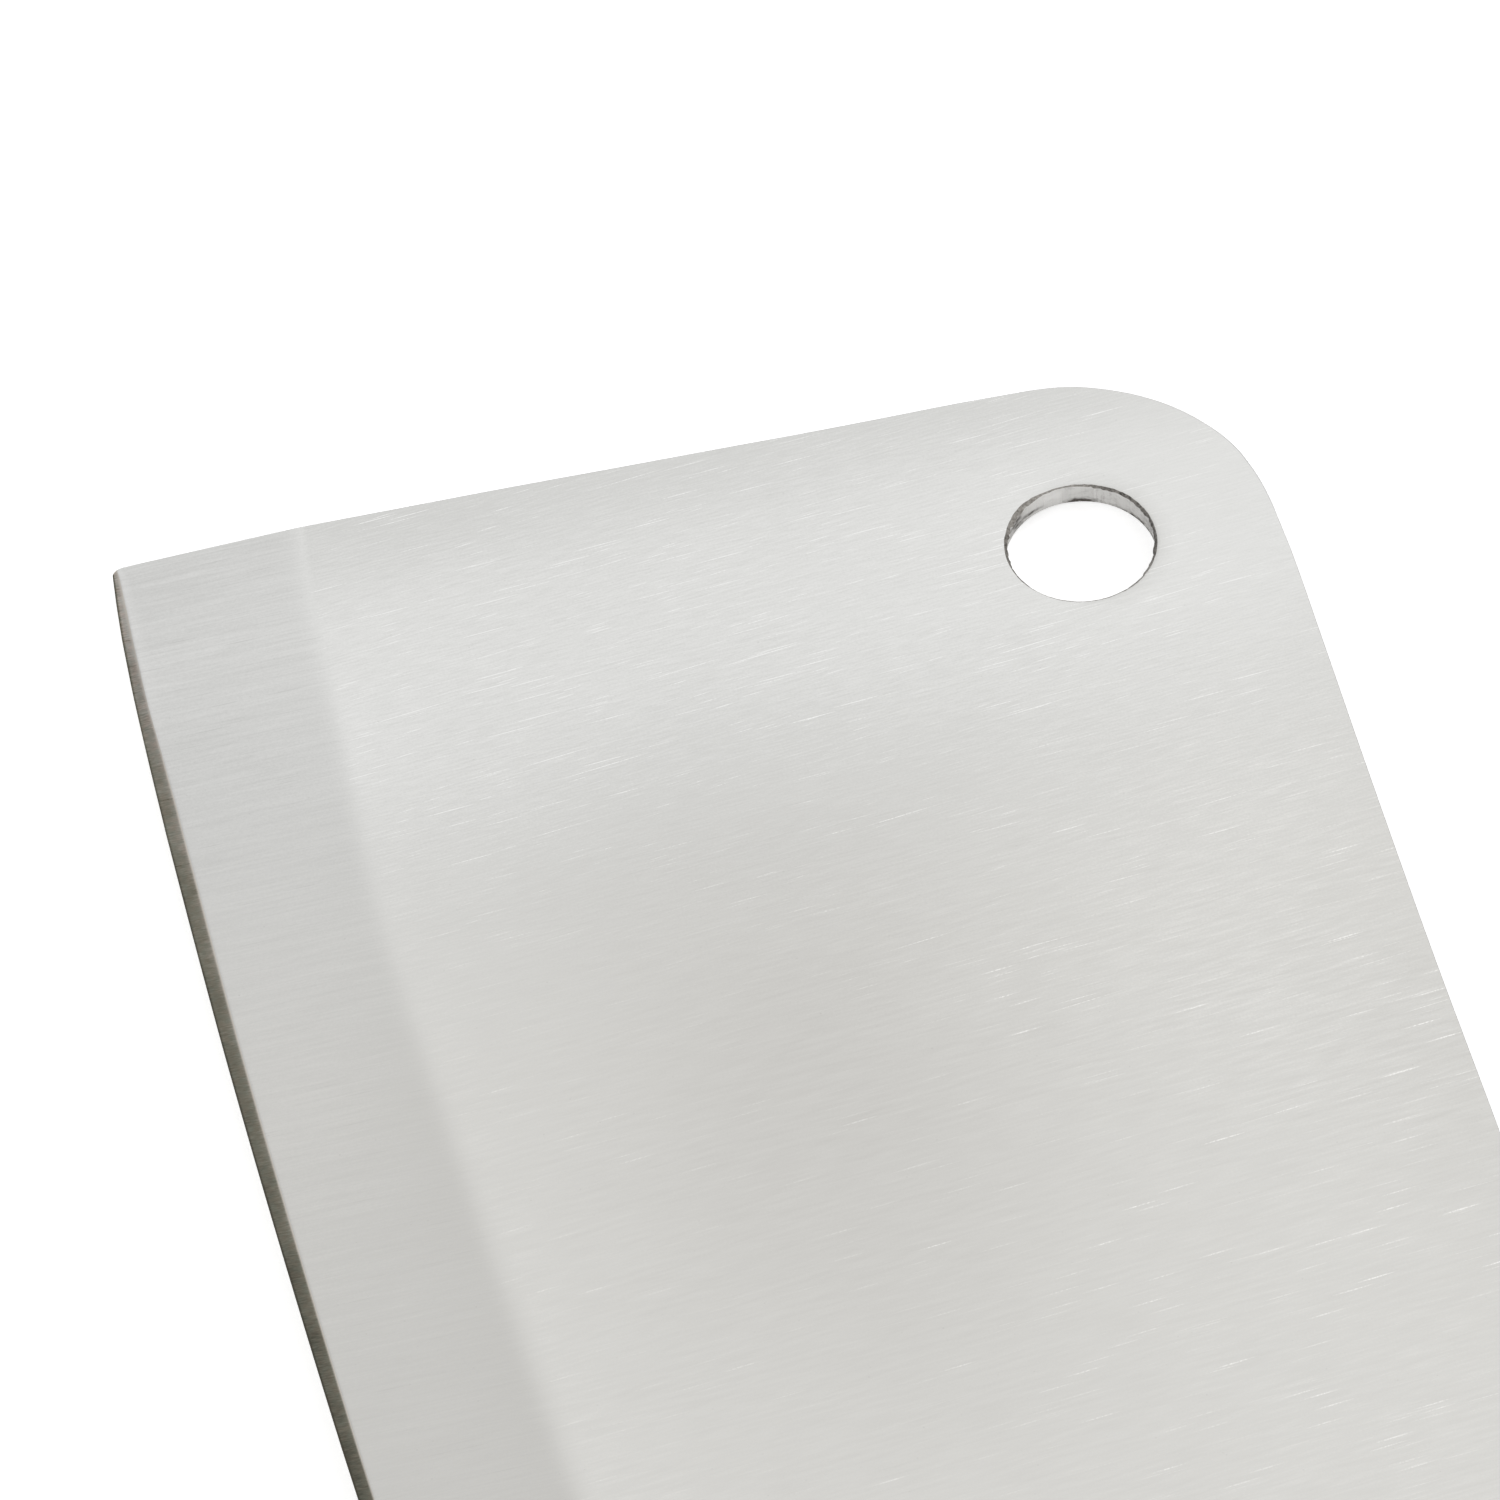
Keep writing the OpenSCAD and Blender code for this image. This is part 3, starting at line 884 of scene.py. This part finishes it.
# the blade's mesh: a grid over the ground bevel, and one flat sheet over the rest and the tang

groundSlot, microSlot, outlineSlot, holeSlot, burrSlot = range(5)


def gridColumns():
    # shares of the blade's length, closer together at the nose; the ends are there twice, for the rim
    shares = [0.0]
    x = 0.0
    while x < 1.0:
        shares.append(x)
        x += blade["noseColumn"] if x < blade["noseShare"] else blade["rearColumn"]
    return shares + [1.0, 1.0]


def gridRows(x):
    # distances from the edge
    micro = curveAt(blade["microWidth"], x)
    wide = curveAt(blade["bevelWidth"], x)
    rows = [micro * share for share in blade["microRows"]]
    rows += [lerp(rows[-1], wide - blade["bevelRowsEnd"], share) for share in blade["bevelRows"]]
    return rows + [wide + k for k in blade["grindRows"]]


def bladeGrid(shares):
    # points of the upper face of the ground zone, row by row; the end columns are the outline
    rim = blade["rim"]
    lastColumn = len(shares) - 1
    table = []
    for j in range(len(gridRows(0))):
        line = []
        for i, share in enumerate(shares):
            x = lerp(noseX(blade["edgeY"]), blade["heelX"], share)
            for _ in range(4):          # the row's height and its ends depend on each other
                d = gridRows(x)[j]
                y = edgeLine(x) + d
                left = noseX(y) + curveAt(blade["toeInset"], d)
                right = blade["heelX"]
                if i > 0:
                    left += rim
                if i < lastColumn:
                    right -= rim
                x = lerp(left, right, share)
            z = bladeHalf(x, d)
            if i in (0, lastColumn):
                z -= min(blade["rimDrop"], blade["rimShare"] * z)
            line.append((x, y, z))
        table.append(line)
    return table


def outlineAbove(bottomLeft, bottomRight):
    # the outline above the ground zone, from the nose round the spine and the tang to the heel
    points = []
    heel = blade["heelX"]
    r = blade["cornerRadius"]
    cy = spineSide - r
    cx = r / cosLean + blade["noseX"] + tanLean * cy
    top = cy + r * sinLean
    steps = blade["noseSteps"]
    for k in range(steps):
        y = lerp(bottomLeft[1], top, k / steps)
        inset = curveAt(blade["toeInset"], y - edgeLine(bottomLeft[0]))
        points.append((noseX(y) + inset - curveAt(blade["noseWander"], y), y))
    sweep = math.pi / 2 - blade["noseLean"]
    steps = blade["cornerSteps"]
    for k in range(steps + 1):
        a = math.pi - blade["noseLean"] - sweep * k / steps
        dx, dy = onCircle(r + curveAt(blade["cornerWander"], math.degrees(a)), a)
        points.append((cx + dx, cy + dy))
    steps = blade["spineSteps"]
    for k in range(1, steps):
        x = lerp(cx, grip["x0"], k / steps)
        points.append((x, spineSide + curveAt(blade["spineWander"], x)))
    stations = gripStations(blade["tangSteps"])
    points += [(x, seamY(x, 1)) for x in stations]
    points += [(x, seamY(x, -1)) for x in reversed(stations)]
    low = seamY(grip["x0"], -1)
    c = blade["choilRadius"]
    if points[-1][0] > heel + c + weldGap:
        points.append((heel + c, low))
    steps = blade["choilSteps"]
    for k in range(1, steps + 1):
        dx, dy = onCircle(c, math.pi / 2 + math.pi / 2 * k / steps)
        points.append((heel + c + dx, low - c + dy))
    steps = blade["heelSteps"]
    points += [(heel, lerp(low - c, bottomRight[1], k / steps)) for k in range(1, steps)]
    return points + [(heel, bottomRight[1])]


def rimWidth(x, y):
    # the broken edge is finer along the spine
    if y <= blade["spineRimAbove"]:
        return blade["rim"]
    (inX, inLength), (outX, outLength) = blade["spineRimIn"], blade["spineRimOut"]
    spine = ease((x - inX) / inLength) * (1 - ease((x - outX) / outLength))
    return lerp(blade["rim"], blade["spineRim"], spine)


def insetLoop(points, firstNormal, lastNormal):
    out = []
    for k, (x, y) in enumerate(points):
        if k == 0:
            n = firstNormal
        elif k == len(points) - 1:
            n = lastNormal
        else:
            dx = points[k + 1][0] - points[k - 1][0]
            dy = points[k + 1][1] - points[k - 1][1]
            size = math.hypot(dx, dy)
            n = (-dy / size, dx / size)
        amount = rimWidth(x, y)
        out.append((x - n[0] * amount, y - n[1] * amount))
    return out


def roundNoise(angle, size, level):
    # noise that closes round the hole
    return noise.noise(Vector((*onCircle(size, angle), level)))


def torn(angle, level):
    # how much wider or narrower than its list the lip or the burr is here
    p = Vector((*onCircle(blade["tearSize"], angle), level))
    amount = 1
    for fineness, height in blade["tears"]:
        amount += height * noise.noise(p * fineness)
    return amount


def lipRadius(angle):
    lip = curveAt(blade["lipWidth"], math.degrees(angle))
    return blade["holeRadius"] + lip * torn(angle, blade["lipSlice"])


def burrReach(angle, side):
    reach = curveAt(blade["burrReach"], math.degrees(angle)) * torn(angle, blade["burrSlice"])
    return max(blade["leastBurr"], reach * (1 if side > 0 else blade["backBurr"]))


def sheetSeeds(border):
    (countX, countY), (startX, startY) = blade["seedCount"], blade["seedStart"]
    (stepX, stepY), (waveX, waveY) = blade["seedStep"], blade["seedWave"]
    turnX, turnY = blade["seedTurn"]
    seeds = []
    for i in range(countX):
        for j in range(countY):
            x = startX + stepX * i + waveX * math.sin(turnX * j)
            y = startY + stepY * j + waveY * math.sin(turnY * i)
            away = min(math.hypot(x - px, y - py) for px, py in border)
            roomy = away > blade["seedFromBorder"] and math.hypot(x, y) > blade["seedFromHole"]
            if roomy and insideLoop(x, y, border):
                seeds.append((x, y))
    return seeds


def flatSheet(border, hole):
    # triangles inside the border and outside the hole
    edges = [(k, (k + 1) % len(border)) for k in range(len(border))]
    edges += [(len(border) + k, len(border) + (k + 1) % len(hole)) for k in range(len(hole))]
    points = [Vector(p) for p in border + hole + sheetSeeds(border)]
    made = delaunay_2d_cdt(points, edges, [], 1, blade["sheetTolerance"])
    flatVerts, found = made[0], made[2]
    middles = [sum((flatVerts[k] for k in face), Vector((0, 0))) / len(face) for face in found]
    return flatVerts, [face for face, m in zip(found, middles) if not insideLoop(m.x, m.y, hole)]


def holeRim(verts, angles, side):
    # four rings: the torn lip, where it turns down, the burr that hangs over the wall, and the wall
    half = blade["halfThickness"]
    lipDrop, burrDrop, mouthDrop = blade["rimDrops"]
    burrSlope, mouthSlope = blade["burrSlopes"]
    liftSize, liftHeight = blade["lipLift"]
    rings = [[], [], [], []]
    for angle in angles:
        reach = burrReach(angle, side)
        lift = liftHeight * roundNoise(angle, liftSize, side)
        lip = lipRadius(angle)
        burr = blade["holeRadius"] - reach
        radii = (lip, lerp(lip, burr, blade["lipTurn"]), burr, blade["holeRadius"])
        heights = (half, half + lift - lipDrop, half - burrDrop - burrSlope * reach,
                   half - mouthDrop - mouthSlope * reach)
        if side < 0:
            heights = (half, *(half - drop for drop in blade["backDrops"]))
        for ring, r, z in zip(rings, radii, heights):
            ring.append(len(verts))
            verts.append((*onCircle(r, angle), side * z))
    return rings


def holeWall(verts, angles, upper, lower):
    # the rings through the hole, from one rim's last ring to the other's
    size, height = blade["wallWaves"]
    count = blade["wallRings"]
    rings = [upper]
    for k in range(1, count):
        ring = []
        for angle, a, b in zip(angles, upper, lower):
            r = blade["holeRadius"] + height * roundNoise(angle, size, k)
            ring.append((*onCircle(r, angle), lerp(verts[a][2], verts[b][2], k / count)))
        rings.append(addPoints(verts, ring))
    return rings + [lower]


def buildBlade():
    verts, faces, slots = [], [], []
    table = bladeGrid(gridColumns())
    microRows = sum(share < 1 for share in blade["microRows"])
    half = blade["halfThickness"]

    outer = outlineAbove(table[-1][0], table[-1][-1])
    outerZ = [half - blade["rimDrop"] * rimWidth(x, y) / blade["rim"] for x, y in outer]
    inner = insetLoop(outer, (-1, 0), (1, 0))
    inner[0] = table[-1][1][:2]
    inner[-1] = table[-1][-2][:2]
    angles = [2 * math.pi * k / blade["holeSteps"] for k in range(blade["holeSteps"])]
    hole = [onCircle(lipRadius(a), a) for a in angles]
    flatLoop = [p[:2] for p in reversed(table[-1][1:-1])]
    flatVerts, flatFaces = flatSheet(inner[:-1] + flatLoop[:-1], hole)

    mouths = []
    for side in (1, -1):
        rows = [addPoints(verts, [(x, y, side * z) for x, y, z in line]) for line in table]
        skin(faces, slots, rows[:microRows + 1], microSlot, False)
        skin(faces, slots, rows[microRows:], groundSlot, False)
        sheet = addPoints(verts, [(v.x, v.y, side * half) for v in flatVerts])
        faces += [tuple(sheet[k] for k in face) for face in flatFaces]
        slots += [groundSlot] * len(flatFaces)
        innerLoop = addPoints(verts, [(x, y, side * half) for x, y in inner])
        outerLoop = addPoints(verts, [(x, y, side * z) for (x, y), z in zip(outer, outerZ)])
        bridge(faces, slots, innerLoop, outerLoop, outlineSlot)
        rings = holeRim(verts, angles, side)
        skin(faces, slots, rings, burrSlot if side > 0 else holeSlot)
        mouths.append(rings[-1])

    # walls: through the hole, and all round the outline
    skin(faces, slots, holeWall(verts, angles, *mouths), holeSlot)
    wall = [line[0] for line in table]
    wall += [(x, y, z) for (x, y), z in zip(outer[1:-1], outerZ[1:-1])]
    wall += [line[-1] for line in reversed(table)]
    wall += list(reversed(table[0][1:-1]))
    upper = addPoints(verts, wall)
    lower = addPoints(verts, [(x, y, -z) for x, y, z in wall])
    bridge(faces, slots, upper, lower, outlineSlot, True)

    steels = [groundSteel, microSteel, outlineSteel, holeSteel, burrSteel]
    item = makeObject("blade_sheet", verts, faces, slots, steels, blade["sharpAngle"])
    markBlade(item.data)
    return item


def markBlade(mesh):
    # what the steels read: the way of the brushing, the strip along the edge, the grind line
    brushing = mesh.uv_layers.new(name="brushing")
    strip = mesh.uv_layers.new(name="strip")
    for polygon in mesh.polygons:
        for k in polygon.loop_indices:
            p = mesh.vertices[mesh.loops[k].vertex_index].co / mm
            brushing.data[k].uv = (p.x / blade["brushingSize"], p.y / blade["brushingSize"])
            strip.data[k].uv = (p.x, (p.y - edgeLine(p.x)) / curveAt(blade["microWidth"], p.x))
    fromGrind = mesh.attributes.new("fromGrind", "FLOAT", "POINT")
    for vertex in mesh.vertices:
        p = vertex.co / mm
        fromGrind.data[vertex.index].value = p.y - edgeLine(p.x) - curveAt(blade["bevelWidth"], p.x)


bladeSheet = buildBlade()
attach(bladeSheet, body)
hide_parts("blade")
print("blade ready:", len(bladeSheet.data.polygons), "faces")


# the scales

scales = {
    "ringSteps": 56,
    "fine": 18,
    "headRadius": 4.03,
    "tubeRadius": 2.53,
    "headDepth": 2.6,
    "boreSteps": 96,
    "boreFrom": -1.0,           # the cutter reaches past the scale on both sides
    "boreTo": 14.0,
    "cutAngle": 30,             # edges sharper than this stay sharp while the bores are cut
    "sharpAngle": 24,
    "boards": [                 # name, side of the tang, and place in the wood it was cut from
        ("scale_left", 1, (0.0, 0.0, 0.0)),
        ("scale_right", -1, (310.0, 47.0, 23.0)),
    ],
}


def ringPoint(x, k, side):
    middle, halfHeight, halfThick = gripLines(x)
    n = grip["squareness"]
    seam = math.asin((blade["halfThickness"] / halfThick) ** (n / 2))
    a = lerp(seam, math.pi - seam, k / scales["ringSteps"])
    c = math.cos(a)
    y = -math.copysign(abs(c) ** (2 / n), c) * halfHeight
    z = max(math.sin(a), 0.0) ** (2 / n) * halfThick
    return (x, middle + y, side * max(z, blade["halfThickness"]))


def rivetFloor(i):
    return gripLines(grip["rivetX"][i])[2] - scales["headDepth"]


def rivetMiddle(i):
    x = grip["rivetX"][i]
    return x, gripLines(x)[0]


def addRings(verts, i, side, rings, steps):
    # rings round rivet i: radius, height and sink; without a height the ring lies on the wood's
    # surface, sunk into it by the sink, and without a radius it is one point
    x0, y0 = rivetMiddle(i)
    loops = []
    for r, z, sink in rings:
        points = []
        for k in range(steps if r else 1):
            dx, dy = onCircle(r, 2 * math.pi * k / steps)
            x, y = x0 + dx, y0 + dy
            points.append((x, y, side * (gripZ(x, y) - sink if z is None else z)))
        loops.append(addPoints(verts, points))
    return loops


def boreCutter(side):
    # one mesh of stepped bores, to be cut out of a scale
    verts, faces = [], []
    tube, head = scales["tubeRadius"], scales["headRadius"]
    for i in range(len(grip["rivetX"])):
        floor = rivetFloor(i)
        rings = [(tube, scales["boreFrom"], 0), (tube, floor, 0), (head, floor, 0),
                 (head, scales["boreTo"], 0)]
        loops = addRings(verts, i, side, rings, scales["boreSteps"])
        skin(faces, [], loops, 0)
        faces += [tuple(loops[0]), tuple(loops[-1])]
    return makeObject("bore_cutter", verts, faces, [0] * len(faces), [], scales["cutAngle"])


def buildScale(name, side, shift):
    verts, faces, slots = [], [], []
    count = scales["ringSteps"] + 1
    loops = [addPoints(verts, [ringPoint(x, k, side) for k in range(count)])
             for x in gripStations(scales["fine"])]
    for a, b in zip(loops, loops[1:]):
        bridge(faces, slots, a, b, 0)
        faces.append((a[0], b[0], b[-1], a[-1]))
        slots.append(0)
    faces += [tuple(loops[0]), tuple(loops[-1])]
    slots += [0, 0]
    item = makeObject(name, verts, faces, slots, [rosewood], scales["cutAngle"])
    cutter = boreCutter(side)
    cut = item.modifiers.new("bores", "BOOLEAN")
    cut.object = cutter
    cut.operation = "DIFFERENCE"
    cut.solver = "EXACT"
    graph = bpy.context.evaluated_depsgraph_get()
    mesh = bpy.data.meshes.new_from_object(item.evaluated_get(graph))
    item.modifiers.clear()
    item.data = mesh
    bpy.data.objects.remove(cutter)
    mesh.materials.clear()
    mesh.materials.append(rosewood)
    for polygon in mesh.polygons:
        polygon.material_index = 0
    mesh.set_sharp_from_angle(angle=math.radians(scales["sharpAngle"]))
    board = mesh.attributes.new("boardShift", "FLOAT_VECTOR", "POINT")
    board.data.foreach_set("vector", list(shift) * len(mesh.vertices))
    return item


for name, side, shift in scales["boards"]:
    scale = buildScale(name + "_wood", side, shift)
    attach(scale, body)
    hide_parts(name)
    print(name, "ready:", len(scale.data.polygons), "faces")


# the rivets: heads level with the wood, tubes and pins inside

rivets = {
    "headRadius": 4.0,
    "headRings": 8,
    "edgeBreak": 0.07,
    "tubeRadius": 2.5,
    "tubeOver": 3.0,            # how far the tube reaches past the tang
    "tubeBreak": 0.2,
    "boreShort": 1.0,           # the bore ends this far from the head's floor
    "pinRadius": 1.6,
    "pinGap": 0.01,
    "pinShort": 2.0,
    "pinBreak": 0.4,
    "steps": 96,
    "sharpAngle": 24,
}


def buildRivet(name, i, side, rings):
    # the rings run from the head's middle outwards, down, and back to the axis
    steps = rivets["steps"]
    verts, faces = [], []
    loops = addRings(verts, i, side, rings, steps)
    for a, b in zip(loops, loops[1:]):
        if len(a) == 1:
            faces += [(a[0], b[k], b[(k + 1) % steps]) for k in range(steps)]
        elif len(b) == 1:
            faces += [(b[0], a[(k + 1) % steps], a[k]) for k in range(steps)]
        else:
            bridge(faces, [], a, b, 0, True)
    return makeObject(name, verts, faces, [0] * len(faces), [rivetBrass], rivets["sharpAngle"])


def headRings(i):
    r = rivets["headRadius"]
    cut = rivets["edgeBreak"]
    count = rivets["headRings"]
    rings = [(r * k / count, None, 0.0) for k in range(count)]
    return rings + [(r - cut, None, 0.0), (r, None, cut), (r, rivetFloor(i), 0.0)]


def femaleRings(i):
    floor = rivetFloor(i)
    tube = rivets["tubeRadius"]
    bore = rivets["pinRadius"] + rivets["pinGap"]
    low = -blade["halfThickness"] - rivets["tubeOver"]
    cut = rivets["tubeBreak"]
    end = floor - rivets["boreShort"]
    return headRings(i) + [(tube, floor, 0.0), (tube, low + cut, 0.0), (tube - cut, low, 0.0),
                           (bore, low, 0.0), (bore, end, 0.0), (0.0, end, 0.0)]


def maleRings(i):
    floor = rivetFloor(i)
    pin = rivets["pinRadius"]
    tip = rivets["pinShort"] - floor
    cut = rivets["pinBreak"]
    return headRings(i) + [(pin, floor, 0.0), (pin, tip + cut, 0.0), (pin - cut, tip, 0.0),
                           (0.0, tip, 0.0)]


for i, place in enumerate(("front", "middle", "rear")):
    for kind, side, rings in (("female", 1, femaleRings(i)), ("male", -1, maleRings(i))):
        name = "rivet_" + place + "_" + kind
        rivet = buildRivet(name + "_metal", i, side, rings)
        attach(rivet, body)
        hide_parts(name)
print("rivets ready")


# camera, as the photograph was taken: aimed at the nose half of the blade

view = {
    "position": (594.5, -138.6, 721.7),
    "right": (0.2383, 0.9701, -0.0462),
    "forward": (-0.6235, 0.1164, -0.7731),
    "lens": 288.0,
    "sensor": 36.0,
    "clip": (0.01, 100.0),
}
camera = bpy.data.objects.new("camera", bpy.data.cameras.new("camera"))
scene.collection.objects.link(camera)
right = Vector(view["right"]).normalized()
back = -Vector(view["forward"]).normalized()
up = back.cross(right).normalized()
right = up.cross(back).normalized()
turned = Matrix((right, up, back)).transposed().to_4x4()
camera.matrix_world = Matrix.Translation(Vector(view["position"]) * mm) @ turned
camera.data.lens = view["lens"]
camera.data.sensor_width = view["sensor"]
camera.data.clip_start, camera.data.clip_end = view["clip"]
scene.camera = camera


# floor: the cleaver lies on its right face, on the nose and the belly of the handle

floorLook = {
    "touchNose": (-17.7, -1.0),       # x and z where the blade touches
    "touchGrip": (288.0, -10.2),
    "gap": 0.02,                      # keeps the floor clear of the steel
    "size": 30.0,                     # metres
    "colour": (0.93, 0.93, 0.93),
    "glowSeen": 0.53,
    "glowMirrored": 0.2,
}
(x1, z1), (x2, z2) = floorLook["touchNose"], floorLook["touchGrip"]
tilt = math.atan2(z1 - z2, x2 - x1)
floorMesh = bpy.data.meshes.new("floor")
s = floorLook["size"] / 2
floorMesh.from_pydata([(-s, -s, 0), (s, -s, 0), (s, s, 0), (-s, s, 0)], [], [(0, 1, 2, 3)])
floor = bpy.data.objects.new("floor", floorMesh)
scene.collection.objects.link(floor)
floorPlace = Vector((x1, 0, z1 - floorLook["gap"])) * mm
floor.matrix_world = Matrix.Translation(floorPlace) @ Matrix.Rotation(tilt, 4, "Y")
floorMaterial = bpy.data.materials.new("floor_white")
surface = startTree(floorMaterial, "OutputMaterial")
diffuse = node("BsdfDiffuse", None, i0=floorLook["colour"])
path = node("LightPath")
seen = times(path.outputs["Is Camera Ray"], floorLook["glowSeen"])
mirrored = times(path.outputs["Is Glossy Ray"], floorLook["glowMirrored"])
glow = node("Emission", None, i0=(1, 1, 1), i1=plus(seen, mirrored))
added = node("AddShader", None, i0=diffuse.outputs[0], i1=glow.outputs[0])
feed(surface, added.outputs[0])
floorMesh.materials.append(floorMaterial)


# light: a white room for the camera, softly graded for the metal, and two soft lamps

lights = {
    "roomFill": 0.6,
    "lamps": [                        # metres
        {"name": "windowLamp", "place": (-0.9, 1.9, 1.7), "size": 1.2, "radiance": 5.0},
        {"name": "fillLamp", "place": (0.9, -2.4, 1.5), "size": 1.8, "radiance": 1.2},
    ],
    "aim": (0.1, -0.03, 0.0),
    "mirrored": [(0.0, 0.5), (0.3, 0.72), (0.62, 1.0), (1.0, 1.04)],      # height of the view, level
    "darkCard": {"toward": (-0.62, -0.46, 0.64), "from": 34, "to": 13, "level": 0.2},     # degrees
}
world = bpy.data.worlds.new("room")
scene.world = world
surface = startTree(world, "OutputWorld")
direction = node("TexCoord").outputs["Generated"]
card = lights["darkCard"]
cardAim = tuple(Vector(card["toward"]).normalized())
nearness = node("VectorMath", {"operation": "DOT_PRODUCT"}, i0=direction,
                i1=cardAim).outputs["Value"]
cardEdge = [math.cos(math.radians(card[end])) for end in ("from", "to")]
level = remap(nearness, cardEdge, (1.0, card["level"]), smooth=True)
shades = [(at, (shade, shade, shade)) for at, shade in lights["mirrored"]]
level = times(level, ramp(xyz(direction)[2], shades))
fill = node("Background", None, i0=(1, 1, 1), i1=lights["roomFill"])
mirror = node("Background", None, i0=(1, 1, 1), i1=level)
white = node("Background", None, i0=(1, 1, 1), i1=1.0)
path = node("LightPath")
glossy = node("MixShader", None, i0=path.outputs["Is Glossy Ray"], i1=fill.outputs[0],
              i2=mirror.outputs[0])
seen = maths("MAXIMUM", path.outputs["Is Camera Ray"], path.outputs["Is Transmission Ray"])
total = node("MixShader", None, i0=seen, i1=glossy.outputs[0], i2=white.outputs[0])
feed(surface, total.outputs[0])

for lampLook in lights["lamps"]:
    lamp = bpy.data.lights.new(lampLook["name"], "AREA")
    lamp.size = lampLook["size"]
    lamp.energy = lampLook["radiance"] * math.pi * lampLook["size"] ** 2
    holder = bpy.data.objects.new(lampLook["name"], lamp)
    holder.visible_glossy = False         # the steel mirrors the room, so no lamp burns it out
    scene.collection.objects.link(holder)
    place = Vector(lampLook["place"])
    aim = Vector(lights["aim"]) - place
    holder.matrix_world = Matrix.Translation(place) @ aim.to_track_quat("-Z", "Y").to_matrix().to_4x4()

scene.view_settings.view_transform = "Standard"
